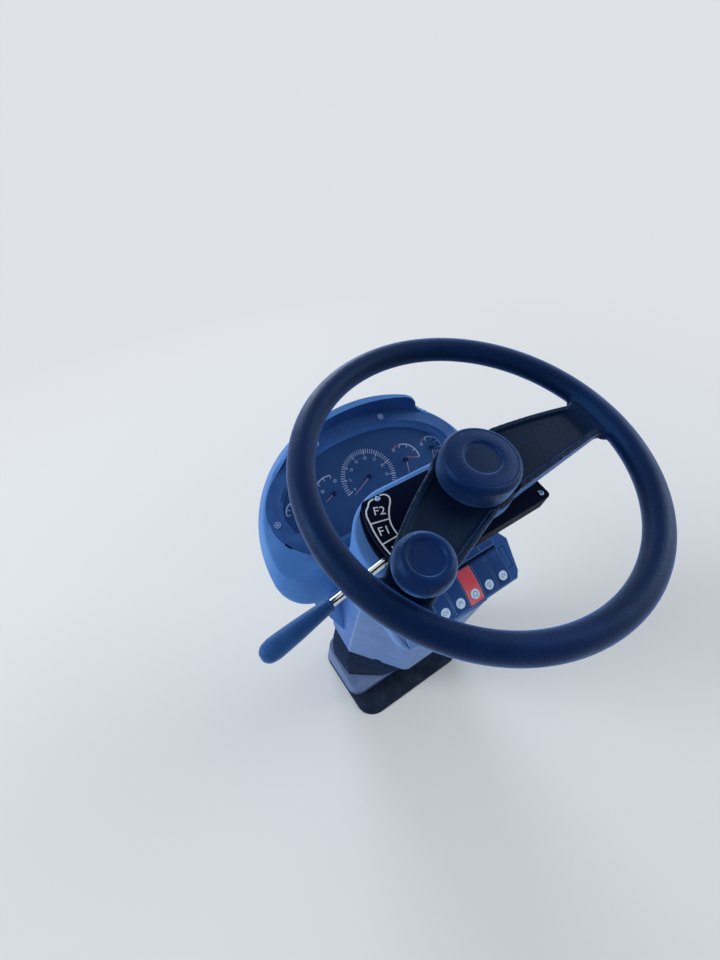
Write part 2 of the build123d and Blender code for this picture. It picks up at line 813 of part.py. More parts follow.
with BuildPart() as lever_yoke:
    with BuildSketch(column.offset(lever_mid - yoke_half_thick)):
        Circle(yoke_r)
    extrude(amount=2 * yoke_half_thick)
    with BuildSketch(lever_plane(0)):
        Rectangle(yoke_bar_width, 2 * yoke_half_thick)
    extrude(amount=yoke_r + yoke_bar_length)
    with BuildSketch(column.offset(lever_mid - yoke_half_thick)):
        Circle(spigot_r + running_gap)
    extrude(amount=2 * yoke_half_thick, mode=Mode.SUBTRACT)
    with BuildSketch(lever_plane(tang_start)):
        Circle(lever_tang_r)
    extrude(amount=lever_tang_length, mode=Mode.SUBTRACT)
save(lever_yoke.part, "lever_yoke")

with BuildPart() as selector_spigot:
    with BuildSketch(column.offset(neck_top + selector_wall)):
        Circle(spigot_r)
        Circle(shaft_r + spigot_gap, mode=Mode.SUBTRACT)
    extrude(amount=selector_depth - selector_wall - selector_plate_thick)
save(selector_spigot.part, "selector_spigot")

with BuildPart() as lever_rod:
    with BuildSketch(lever_plane(tang_start)):
        Circle(lever_tang_r)
    extrude(amount=lever_tang_length)
    with BuildSketch(lever_plane(tang_end)):
        Circle(lever_rod_r)
    extrude(amount=rod_end - tang_end)
save(lever_rod.part, "lever_rod")

with BuildPart() as lever_grip:
    with BuildSketch(lever_section):
        with BuildLine():
            grip_side = Polyline(
                (rod_end, 0),
                (rod_end, lever_rod_r),
                (grip_start, lever_rod_r),
                (grip_start, grip_root_r),
                (grip_start + grip_collar, grip_root_r + 1),
                (lever_reach - grip_end_r, grip_end_r),
            )
            grip_nose = RadiusArc(grip_side @ 1, (lever_reach, 0), grip_end_r)
            Line(grip_nose @ 1, grip_side @ 0)
        make_face()
    revolve(axis=lever_axis)
save(lever_grip.part, "lever_grip")


# Neck: a tapered shell under the selector, closed on top
def neck_sketch(inset=0.0):
    with BuildSketch(mode=Mode.PRIVATE) as outline:
        Circle(neck_r - inset)
        with Locations(((neck_right - neck_r) / 2, (neck_front - neck_rear) / 2)):
            Rectangle(
                neck_right + neck_r - 2 * inset,
                neck_front + neck_rear - 2 * inset,
                mode=Mode.INTERSECT,
            )
        shoulder = outline.vertices().sort_by(Axis.Y)[-2:].sort_by(Axis.X)[0]
        fillet(shoulder, neck_shoulder_r - inset)
        fillet(outline.vertices().sort_by(Axis.Y)[:2], neck_corner_r - inset)
        fillet(outline.vertices().group_by(Axis.Y)[-1].sort_by(Axis.X)[-1], neck_corner_r - inset)
    return outline.sketch


neck_down = Plane(origin=column_point(0, 0, neck_top), x_dir=(1, 0, 0), z_dir=column_direction(0, -1))
neck_height = neck_top - cowl_top


def flipped(sketch):
    return mirror(sketch, about=Plane.XZ)


def throat():
    """Opening for the column jacket through the neck's foot and the cowl's roof."""
    with BuildSketch(mode=Mode.PRIVATE) as outline:
        with Locations((0, (neck_front - neck_rear) / 2)):
            Rectangle(2 * (cowl_half_width - throat_inset), neck_front + neck_rear - 2 * throat_lip)
    return outline.sketch


with BuildPart() as neck_core:
    with BuildSketch(neck_down):
        add(flipped(neck_sketch()))
    extrude(amount=neck_height + cowl_half_width, taper=neck_draft_angle)

with BuildPart() as neck:
    with BuildSketch(neck_down):
        add(flipped(neck_sketch()))
    extrude(amount=neck_height, taper=neck_draft_angle)
    fillet(neck.faces().sort_by(column_axis)[-1].edges(), neck_edge_r)
    with BuildSketch(neck_down.offset(shell_wall)):
        add(flipped(neck_sketch(shell_wall)))
    extrude(amount=neck_height - 2 * shell_wall, taper=neck_draft_angle, mode=Mode.SUBTRACT)
    with BuildSketch(column.offset(cowl_top)):
        add(throat())
    extrude(amount=2 * shell_wall, mode=Mode.SUBTRACT)
    with BuildSketch(column.offset(neck_top - 2 * shell_wall)):
        Circle(jacket_r)
    extrude(amount=3 * shell_wall, mode=Mode.SUBTRACT)
save(neck.part, "neck")


# Binnacle housing: a bowl lofted from its face over the belt to its back
def shield(half_width, level, rise, bottom, corner_r):
    """Half an ellipse on straight sides, with rounded lower corners."""
    with BuildSketch(mode=Mode.PRIVATE) as outline:
        with BuildLine():
            arch = EllipticalCenterArc((0, level), half_width, rise, start_angle=0, arc_size=180)
            Polyline(arch @ 1, (-half_width, -bottom), (half_width, -bottom), arch @ 0)
        make_face()
        fillet(outline.vertices().group_by(Axis.Y)[0], corner_r)
    return outline.sketch


def crest():
    return shield(crest_half_width, crest_level, crest_rise, crest_bottom, crest_corner_r)


def oval(grow=0.0):
    """Outline of the lens, grown evenly round the sides and less along its flat foot."""
    with BuildSketch(mode=Mode.PRIVATE) as outline:
        with Locations((0, oval_level)):
            Ellipse(oval_half_width + grow, oval_rise + grow)
        with Locations((0, -lens_bottom - grow * bezel_foot_share)):
            Rectangle(
                2 * (oval_half_width + bezel_width),
                2 * oval_rise + 2 * bezel_width,
                align=(Align.CENTER, Align.MIN),
                mode=Mode.INTERSECT,
            )
        fillet(outline.vertices().group_by(Axis.Y)[0], oval_corner_r)
    return outline.sketch


def column_prism(low, high, inset=0.0):
    """Solid of the cowl's section between two heights on the steering axis."""
    with BuildPart(mode=Mode.PRIVATE) as prism:
        with BuildSketch(column.offset(low)):
            with BuildLine():
                Polyline(*cowl_outline(inset), close=True)
            make_face()
        extrude(amount=high - low)
    return prism.part


def on_belt(edge):
    return abs(face.to_local_coords(edge.center()).Z + belt_depth) < 0.1


bezel_seat = bezel_thick - bezel_proud
lens_floor = lens_sink + lens_thick
belt = shield(housing_half_width, belt_level, belt_rise, belt_bottom, belt_corner_r)
back = shield(housing_half_width - back_inset, back_level, back_rise, back_bottom, back_corner_r)
with BuildPart() as housing_form:
    with BuildSketch(face):
        add(crest())
    with BuildSketch(face.offset(-belt_depth)):
        add(belt)
    with BuildSketch(face.offset(-back_depth)):
        add(back)
    loft(ruled=True)
    fillet([edge for edge in housing_form.edges() if on_belt(edge)], belt_edge_r)
    fillet(housing_form.faces().sort_by(face_axis)[-1].edges(), crest_edge_r)
    fillet(housing_form.faces().sort_by(face_axis)[0].edges(), back_edge_r)

# Apron from the belly down to the cowl's sides
with BuildPart() as apron:
    with BuildSketch(column.offset(apron_top - apron_height)):
        with Locations((0, apron_foot_mid)):
            Rectangle(2 * (cowl_half_width + apron_foot_margin), apron_foot_depth)
    with BuildSketch(column.offset(apron_top)):
        with Locations((0, apron_top_mid)):
            Rectangle(2 * (housing_half_width - apron_inset), apron_top_depth)
    loft(ruled=True)

with BuildPart() as housing:
    add(housing_form.part)
    add(apron.part)
    for outline, depth in (
        (oval(bezel_width + bezel_gap), bezel_seat),
        (oval(), lens_floor),
        (oval(-lens_seat), dial_depth + dial_thick),
    ):
        with BuildSketch(face):
            add(outline)
        extrude(amount=-depth, mode=Mode.SUBTRACT)
    add(column_prism(cowl_bottom, wheel_s), mode=Mode.SUBTRACT)
    add(neck_core.part, mode=Mode.SUBTRACT)
save(housing.part, "binnacle_housing")

# Visor: the face's own outline raised over the dials, its ends swept down to the face
with BuildPart() as visor:
    with BuildSketch(face.offset(-crest_edge_r)):
        add(crest())
    extrude(amount=visor_rise + crest_edge_r)
    with BuildSketch(face):
        add(oval(bezel_width + bezel_gap))
    with BuildSketch(face.offset(visor_rise)):
        add(oval(bezel_width + bezel_gap + visor_splay))
    loft(mode=Mode.SUBTRACT)
    with BuildSketch(Plane(origin=face.origin, x_dir=face.x_dir, z_dir=-face.y_dir)):
        with BuildLine():
            visor_knee = ((visor_shoulder + visor_foot) / 2, visor_rise / 2)
            middle = Line((0, visor_rise), (visor_shoulder, visor_rise))
            shoulder = TangentArc(middle @ 1, visor_knee, tangent=(1, 0))
            sweep_out = TangentArc(shoulder @ 1, (visor_foot, 0), tangent=shoulder % 1)
            Polyline(sweep_out @ 1, (visor_foot, -crest_edge_r), (0, -crest_edge_r), middle @ 0)
        make_face()
        mirror(about=Plane.YZ)
    extrude(amount=-2 * crest_half_width, mode=Mode.INTERSECT)
    add(housing_form.part, mode=Mode.SUBTRACT)
save(visor.part, "visor")

# Bezel round the lens, with four screw caps on its middle line
ring_middle = bezel_width / 2
ring_half_width = oval_half_width + ring_middle
ring_rise = oval_rise + ring_middle
cap_top_y = oval_level + ring_rise * math.sqrt(1 - (cap_top_x / ring_half_width) ** 2)
cap_side_x = ring_half_width * math.sqrt(1 - ((cap_side_y - oval_level) / ring_rise) ** 2)
with BuildPart() as bezel:
    with BuildSketch(face.offset(-bezel_seat)):
        add(oval(bezel_width))
    extrude(amount=bezel_thick)
    fillet(bezel.faces().sort_by(face_axis)[-1].edges(), bezel_edge_r)
    with BuildSketch(face.offset(-bezel_seat)):
        add(oval())
    extrude(amount=bezel_thick, mode=Mode.SUBTRACT)
    with BuildSketch(face.offset(bezel_proud)):
        for side in (1, -1):
            with Locations((side * cap_top_x, cap_top_y), (side * cap_side_x, cap_side_y)):
                Circle(cap_r)
    extrude(amount=cap_rise)
save(bezel.part, "bezel")

with BuildPart() as lens:
    with BuildSketch(face.offset(-lens_floor)):
        add(oval(-lens_gap))
    extrude(amount=lens_thick)
save(lens.part, "lens")

# Dial plate behind the lens, and one needle for each gauge
with BuildPart() as dial_plate:
    with BuildSketch(face.offset(-dial_depth - dial_thick)):
        add(oval(-lens_seat - lens_gap))
    extrude(amount=dial_thick)
save(dial_plate.part, "dial_plate")

# Gauges: centre across the lens and needle length, both against the lens's half width; needle angle
gauges = [
    (-0.825, 0.11, 75),
    (-0.41, 0.12, 201),
    (0.01, 0.25, 204),
    (0.475, 0.18, 255),
    (0.825, 0.11, 250),
]
needle_floor = face.offset(-dial_depth)
with BuildPart() as gauge_needles:
    for place, share, angle in gauges:
        x = place * oval_half_width
        length = share * oval_half_width
        with BuildSketch(needle_floor):
            with Locations((x, 0)):
                Circle(needle_hub_r)
        extrude(amount=needle_hub_rise)
        with BuildSketch(needle_floor.offset(needle_rise)):
            with Locations(Location((x, 0, 0), (0, 0, angle))):
                with Locations((length / 2, 0)):
                    Rectangle(length, needle_width)
        extrude(amount=needle_thick)
save(gauge_needles.part, "gauge_needles")

# Switch tray: a framed box under the wheel, facing the driver
tray_corners = [
    (tray_half_width - tray_shoulder_x, -tray_top),
    (tray_half_width, -tray_top - tray_shoulder_y),
    (tray_half_width - tray_foot_x, -tray_bottom + tray_foot_y),
    (tray_half_width - tray_end_x, -tray_bottom),
]
rocker_width = rocker_spacing - rocker_gap
rocker_last = rocker_first_x - (rocker_count - 1) * rocker_spacing
rocker_middle_x = (rocker_first_x + rocker_last) / 2
rocker_bank = rocker_count * rocker_spacing
with BuildPart() as switch_tray:
    with BuildSketch(tray):
        with BuildLine():
            Polyline(
                *tray_corners,
                *[(-x, y) for x, y in reversed(tray_corners)],
                close=True,
            )
        make_face()
    extrude(amount=-tray_depth)
    chamfer(switch_tray.faces().sort_by(face_axis)[-1].edges(), tray_chamfer)
    for middle, length, seat in (
        (rocker_mid, rocker_length, rocker_seat),
        (blank_mid, blank_length, blank_seat),
    ):
        with BuildSketch(tray):
            with Locations((rocker_middle_x, -middle)):
                Rectangle(rocker_bank, length + rocker_gap)
        extrude(amount=-seat, mode=Mode.SUBTRACT)
    add(neck_core.part, mode=Mode.SUBTRACT)
save(switch_tray.part, "switch_tray")


def rocker_plane(place):
    x = rocker_first_x - place * rocker_spacing
    origin = tray.from_local_coords(Vector(x, -rocker_mid, 0))
    return Plane(origin=origin, x_dir=tray.y_dir, z_dir=tray.x_dir)


def rocker(place):
    """One rocker, bowed along its length, with its long top edges rounded."""
    half = rocker_length / 2
    with BuildPart(mode=Mode.PRIVATE) as piece:
        with BuildSketch(rocker_plane(place)):
            with BuildLine():
                sides = Polyline(
                    (half, rocker_end_rise),
                    (half, -rocker_seat),
                    (-half, -rocker_seat),
                    (-half, rocker_end_rise),
                )
                ThreePointArc(sides @ 1, (0, rocker_rise), sides @ 0)
            make_face()
        extrude(amount=rocker_width / 2, both=True)
        fillet(piece.edges().filter_by(GeomType.CIRCLE), rocker_edge_r)
    return piece.part


with BuildPart() as hazard_switch:
    add(rocker(hazard_place))
save(hazard_switch.part, "hazard_switch")

with BuildPart() as rocker_switches:
    for place in range(rocker_count):
        if place != hazard_place:
            add(rocker(place))
save(rocker_switches.part, "rocker_switches")

with BuildPart() as switch_blanks:
    with BuildSketch(tray):
        for place in range(rocker_count):
            with Locations((rocker_first_x - place * rocker_spacing, -blank_mid)):
                Rectangle(rocker_width, blank_length)
    extrude(amount=-blank_seat)
    add(neck_core.part, mode=Mode.SUBTRACT)
save(switch_blanks.part, "switch_blanks")

# Lower cowl in a rear and a front half, meeting on the column's cross plane
tray_underside = tray.offset(-tray_depth)
cross_plane = Plane(origin=(0, 0, 0), x_dir=(1, 0, 0), z_dir=column_direction(1, 0))
with BuildPart() as cowl_shell:
    add(column_prism(cowl_bottom, cowl_top))
    add(column_prism(cowl_bottom, cowl_top - shell_wall, shell_wall), mode=Mode.SUBTRACT)
    with BuildSketch(column.offset(cowl_top - shell_wall)):
        add(throat())
    extrude(amount=shell_wall, mode=Mode.SUBTRACT)
notch_x = cowl_half_width - cowl_chamfer_x / 2
notch_v = cowl_chamfer_v / 2 - cowl_rear_reach
notch_turn = math.degrees(math.atan2(cowl_chamfer_v, cowl_chamfer_x))
with BuildPart() as cowl_rear:
    add(cowl_shell.part)
    split(bisect_by=cross_plane, keep=Keep.BOTTOM)
    split(bisect_by=tray_underside, keep=Keep.BOTTOM)
    with BuildSketch(column.offset(cowl_bottom)):
        for side in (1, -1):
            with Locations(Location((side * notch_x, notch_v, 0), (0, 0, side * notch_turn))):
                Rectangle(cowl_notch_width, 4 * shell_wall)
    extrude(amount=cowl_notch_height, mode=Mode.SUBTRACT)
save(cowl_rear.part, "cowl_rear")

with BuildPart() as cowl_front:
    add(cowl_shell.part)
    split(bisect_by=cross_plane, keep=Keep.TOP)
save(cowl_front.part, "cowl_front")
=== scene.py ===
import bpy
import bmesh
import json
import math
from mathutils import Matrix, Vector

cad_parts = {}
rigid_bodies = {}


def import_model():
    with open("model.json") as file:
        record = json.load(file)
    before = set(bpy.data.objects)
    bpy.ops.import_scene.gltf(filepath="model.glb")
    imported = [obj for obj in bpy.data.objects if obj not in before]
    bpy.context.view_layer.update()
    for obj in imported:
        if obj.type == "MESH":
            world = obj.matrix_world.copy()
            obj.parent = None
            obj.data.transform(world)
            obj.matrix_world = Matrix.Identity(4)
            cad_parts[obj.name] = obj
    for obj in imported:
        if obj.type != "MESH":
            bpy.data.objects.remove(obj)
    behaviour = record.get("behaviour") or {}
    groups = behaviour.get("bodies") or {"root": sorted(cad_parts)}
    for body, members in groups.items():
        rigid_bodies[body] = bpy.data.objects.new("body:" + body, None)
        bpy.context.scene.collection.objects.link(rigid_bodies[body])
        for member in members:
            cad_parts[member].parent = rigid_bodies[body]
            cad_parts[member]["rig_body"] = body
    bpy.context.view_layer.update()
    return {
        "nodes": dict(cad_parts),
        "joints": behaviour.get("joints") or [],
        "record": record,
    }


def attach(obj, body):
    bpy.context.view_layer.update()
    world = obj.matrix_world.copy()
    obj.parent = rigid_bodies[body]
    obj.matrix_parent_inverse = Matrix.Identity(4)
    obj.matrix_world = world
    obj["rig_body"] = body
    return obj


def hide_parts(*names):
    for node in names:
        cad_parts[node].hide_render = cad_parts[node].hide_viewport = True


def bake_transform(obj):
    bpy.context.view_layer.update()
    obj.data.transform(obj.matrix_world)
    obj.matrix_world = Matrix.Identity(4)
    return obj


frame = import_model()
scene = bpy.context.scene
scene.view_settings.view_transform = "Standard"

# Places on the console, from its joints: lengths here and below are millimetres, angles are degrees
mm = 0.001
joints = {joint["name"]: joint for joint in frame["joints"]}
column_axis = Vector(joints["wheel_spin"]["axis"])
wheel_centre = Vector(joints["wheel_spin"]["pos_m"])
across = Vector((1, 0, 0))
forward = column_axis.cross(across)

wheel_turn = 11.5  # of the spokes, from straight across
knob_foot = 10.0  # from the knob's joint down to the plane of the wheel's centre
lever_angle = 188.0  # of the lever at neutral, round the column
lever_raise = 0.5  # of the lever's middle line over its joint
selector_drop = 70.0  # from the wheel's centre down to the selector's cover

face_lean = 24.4  # of the instrument face towards the driver, from square to the column
face_forward = 176.0  # from the wheel's centre ahead to the middle of the face
face_drop = 237.0  # and down the column to it
dial_drop = 19.9  # from the face in to the dial plate
tray_rise = 90.0  # from the face out to the top of the switch tray

rocker_mid = -229.0  # y of the middle of the row of rockers
rocker_half = 28.0  # half of a rocker's length
rocker_ends = 1.5  # height over the tray at a rocker's ends
rocker_crown = 5.0  # and at its middle
rocker_pitch = 30.0
first_rocker_x = 84.0  # of the rocker at the right end
rocker_flat_half = 13.6  # half of a rocker's width between its rounded long edges
blank_rocker_x = -81.0  # left of here the tray and its rockers look like the cowl

pedestal_top = 80.0  # where the bellows starts, along the column from the floor
fold_height = 165.0  # and its length along the column


def plane(origin, x_dir, z_dir):
    """Matrix from millimetres in a local plane to metres in the frame."""
    z_axis = Vector(z_dir).normalized()
    x_axis = (Vector(x_dir) - z_axis * z_axis.dot(Vector(x_dir))).normalized()
    turn = Matrix((x_axis, z_axis.cross(x_axis), z_axis)).transposed().to_4x4()
    turn.translation = origin
    return turn @ Matrix.Scale(mm, 4)


def spot(x, y, z=0.0, turn=0.0):
    """Matrix that moves to a place and turns about Z there."""
    return Matrix.Translation((x, y, z)) @ Matrix.Rotation(math.radians(turn), 4, "Z")


def lifted(base, x=0.0, y=0.0, z=0.0, turn=0.0):
    """The same kind of place as base, moved and turned within it."""
    return base @ Matrix.Translation((x, y, z)) @ Matrix.Rotation(math.radians(turn), 4, "Z")


def toward(angle):
    """Unit vector in a plane, this many degrees round from its X axis."""
    return Vector((math.cos(math.radians(angle)), math.sin(math.radians(angle))))


column = plane(wheel_centre, across, column_axis)
to_column = column.inverted()
wheel = lifted(column, turn=wheel_turn)
knob = plane(
    Vector(joints["knob_spin"]["pos_m"]) - knob_foot * mm * column_axis, wheel.col[0].to_3d(), column_axis,
)
lever = plane(
    Vector(joints["lever_swing"]["pos_m"]) + lever_raise * mm * column_axis,
    column_axis,
    column.to_3x3() @ toward(lever_angle).to_3d(),
)
lean = toward(face_lean)
face = plane(
    wheel_centre + mm * face_forward * forward - mm * face_drop * column_axis,
    across,
    across.cross(lean.x * forward + lean.y * column_axis),
)
to_face = face.inverted()
tray = lifted(face, z=tray_rise)
selector = lifted(column, z=-selector_drop)
dial = lifted(face, z=-dial_drop)


def rocker_height(y):
    """Height of a rocker's bowed face over the tray, at this place along it."""
    sag = rocker_crown - rocker_ends
    bow = (rocker_half ** 2 + sag ** 2) / (2 * sag)
    return rocker_crown - bow + math.sqrt(bow ** 2 - (y - rocker_mid) ** 2)


def tone(red, green, blue):
    """A shader's colour from red, green and blue as shown on a screen, 0 to 255."""
    shown = [value / 255 for value in (red, green, blue)]
    return (*(c / 12.92 if c < 11 / 255 else ((c + 0.055) / 1.055) ** 2.4 for c in shown), 1.0)


white = (1, 1, 1, 1)
sky = tone(98, 160, 235)
deep_sky = tone(84, 140, 225)
bright_sky = tone(110, 174, 255)
dust_tone = tone(172, 182, 200)


class Shader:
    """A material's node tree, with short calls to add and join nodes."""

    def __init__(self, name):
        self.material = bpy.data.materials.new(name)
        self.material.use_nodes = True
        self.tree = self.material.node_tree
        self.surface = self.tree.nodes["Principled BSDF"]
        self.coords = self.add("ShaderNodeTexCoord").outputs["Object"]

    def add(self, kind, **settings):
        node = self.tree.nodes.new(kind)
        for key, value in settings.items():
            setattr(node, key, value)
        return node

    def join(self, start, end):
        self.tree.links.new(start, end)

    def noise(self, scale, detail=3.0, roughness=0.5, stretch=(1, 1, 1)):
        node = self.add("ShaderNodeTexNoise")
        place = self.add("ShaderNodeMapping")
        place.inputs["Scale"].default_value = stretch
        self.join(self.coords, place.inputs["Vector"])
        self.join(place.outputs["Vector"], node.inputs["Vector"])
        node.inputs["Scale"].default_value = scale
        node.inputs["Detail"].default_value = detail
        node.inputs["Roughness"].default_value = roughness
        return node.outputs["Fac"]

    def cells(self, scale, feature="F1"):
        node = self.add("ShaderNodeTexVoronoi", feature=feature)
        self.join(self.coords, node.inputs["Vector"])
        node.inputs["Scale"].default_value = scale
        return node.outputs["Distance"]

    def ramp(self, value, stops):
        node = self.add("ShaderNodeValToRGB")
        first, last = node.color_ramp.elements[0], node.color_ramp.elements[-1]
        first.position, first.color = stops[0]
        last.position, last.color = stops[-1]
        for position, colour in stops[1:-1]:
            node.color_ramp.elements.new(position).color = colour
        self.join(value, node.inputs["Fac"])
        return node.outputs["Color"]

    def span(self, value, low, high, from_low=0.3, from_high=0.7):
        node = self.add("ShaderNodeMapRange")
        self.join(value, node.inputs["Value"])
        node.inputs["From Min"].default_value = from_low
        node.inputs["From Max"].default_value = from_high
        node.inputs["To Min"].default_value = low
        node.inputs["To Max"].default_value = high
        return node.outputs["Result"]

    def blend(self, factor, first, second):
        """Mixes two colours, where each may be a constant or another node's output."""
        node = self.add("ShaderNodeMix", data_type="RGBA")
        mix_factor, mix_first, mix_second, mixed = 0, 6, 7, 2
        for value, socket in ((factor, mix_factor), (first, mix_first), (second, mix_second)):
            if isinstance(value, bpy.types.NodeSocket):
                self.join(value, node.inputs[socket])
            else:
                node.inputs[socket].default_value = value
        return node.outputs[mixed]

    def product(self, first, second):
        node = self.add("ShaderNodeMath", operation="MULTIPLY")
        self.join(first, node.inputs[0])
        self.join(second, node.inputs[1])
        return node.outputs[0]

    def facing_up(self, low, high):
        """From 0 to 1 as the surface turns upwards, where dust settles."""
        split = self.add("ShaderNodeSeparateXYZ")
        self.join(self.add("ShaderNodeNewGeometry").outputs["Normal"], split.inputs["Vector"])
        return self.span(split.outputs["Z"], 0.0, 1.0, low, high)

    def bump(self, height, strength, distance, under=None):
        node = self.add("ShaderNodeBump")
        node.inputs["Strength"].default_value = strength
        node.inputs["Distance"].default_value = distance
        self.join(height, node.inputs["Height"])
        if under is not None:
            self.join(under, node.inputs["Normal"])
        return node.outputs["Normal"]


def moulded(
    name, colour, deep, light, roughness, grain, depth,
    coarse=0.0, sheen=0.0, sheen_spread=0.4, bloom=sky, glint=sky, shine=0.5,
    dust=0.0, worn=0.0, core=None,
):
    """Moulded plastic: mottled colour, a fine pebbled grain, edges lightened towards the glint colour as wear
    and as a painted highlight, and dust on what faces up.

    The colour runs between a deep and a light tone. The grain is given as cells to a metre and a
    depth in metres. A core is a colour near the wheel's centre, with the reach in metres over which
    it gives way to the rest.
    """
    shader = Shader(name)
    surface = shader.surface.inputs
    # Broad patches of the three tones, with fine pale specks over them
    patches = shader.ramp(shader.noise(9.0, 5.0, 0.6), [(0.3, deep), (0.52, colour), (0.75, light)])
    specks = shader.span(shader.noise(420.0, 2.0), 0.0, 0.35, 0.5, 0.8)
    patches = shader.blend(specks, patches, light)
    if core:
        core_colour, core_start, core_end = core
        reach = shader.add("ShaderNodeVectorMath", operation="DISTANCE")
        shader.join(shader.coords, reach.inputs[0])
        reach.inputs[1].default_value = wheel_centre
        outside = shader.span(reach.outputs["Value"], 0.0, 1.0, core_start, core_end)
        patches = shader.blend(outside, core_colour, patches)
    # Convex edges lighten towards the glint colour: partly wear, partly a painted highlight
    if worn:
        edge = shader.add("ShaderNodeNewGeometry").outputs["Pointiness"]
        rubbed = shader.product(
            shader.span(edge, 0.0, worn, 0.505, 0.56),
            shader.span(shader.noise(55.0, 5.0, 0.7), 0.2, 1.0, 0.35, 0.65),
        )
        patches = shader.blend(rubbed, patches, glint)
    if dust:
        settled = shader.product(
            shader.facing_up(0.35, 1.0), shader.span(shader.noise(30.0, 6.0, 0.7), 0.0, dust),
        )
        patches = shader.blend(settled, patches, dust_tone)
    shader.join(patches, surface["Base Color"])
    uneven = shader.span(shader.noise(24.0, 4.0, 0.6), roughness - 0.08, roughness + 0.1)
    shader.join(uneven, surface["Roughness"])
    # Grain, a coarser grain on the soft mouldings, and a slow unevenness under both
    fine = shader.bump(shader.cells(grain), 0.5, depth)
    if coarse:
        fine = shader.bump(shader.cells(grain / 3, "SMOOTH_F1"), 0.5, coarse, fine)
    shader.join(shader.bump(shader.noise(60.0, 3.0), 0.12, 0.0006, fine), surface["Normal"])
    surface["Specular IOR Level"].default_value = shine
    surface["Specular Tint"].default_value = glint
    surface["Sheen Weight"].default_value = sheen
    surface["Sheen Roughness"].default_value = sheen_spread
    surface["Sheen Tint"].default_value = bloom
    return shader.material


def soft_cap(name, core=None):
    """The softer moulding of the hub's pad and the spinner knob."""
    return moulded(
        name, tone(6, 25, 68), tone(4, 18, 52), tone(11, 38, 90), 0.34, 1500.0, 0.0003, coarse=0.0003,
        sheen=1.0, sheen_spread=0.36, bloom=bright_sky, shine=0.35, core=core,
    )


def metal(name, colour, roughness, brushed):
    """Bare or plated metal, with fine marks drawn along one direction."""
    shader = Shader(name)
    marks = shader.noise(90.0, 4.0, 0.6, brushed)
    shader.surface.inputs["Metallic"].default_value = 1.0
    darker = (*(c * 0.72 for c in colour[:3]), 1)
    shader.join(shader.ramp(marks, [(0.35, darker), (0.6, colour)]), shader.surface.inputs["Base Color"])
    shader.join(shader.span(marks, roughness, roughness + 0.12), shader.surface.inputs["Roughness"])
    shader.join(shader.bump(marks, 0.1, 0.0002), shader.surface.inputs["Normal"])
    return shader.material


def printed(name, colour, worn):
    """Screen-printed ink, slightly uneven where it has rubbed."""
    shader = Shader(name)
    rub = shader.ramp(shader.noise(160.0, 5.0, 0.7), [(0.32, worn), (0.55, colour)])
    shader.join(rub, shader.surface.inputs["Base Color"])
    shader.join(shader.span(shader.noise(300.0), 0.35, 0.55), shader.surface.inputs["Roughness"])
    return shader.material


def lens_with_painted_veil():
    """Clear cover over the dials, with a pale blue veil in its colour, a painted reflection, and a few fine
    wipe marks.
    """
    shader = Shader("clear_cover")
    wipes = shader.noise(45.0, 5.0, 0.65, (1, 6, 6))
    # Pale blue veil: a painted reflection
    shader.surface.inputs["Base Color"].default_value = tone(40, 80, 150)
    shader.surface.inputs["IOR"].default_value = 1.49
    shader.surface.inputs["Specular Tint"].default_value = sky
    shader.join(shader.span(wipes, 0.05, 0.18), shader.surface.inputs["Roughness"])
    shader.join(shader.span(wipes, 0.08, 0.16), shader.surface.inputs["Alpha"])
    return shader.material


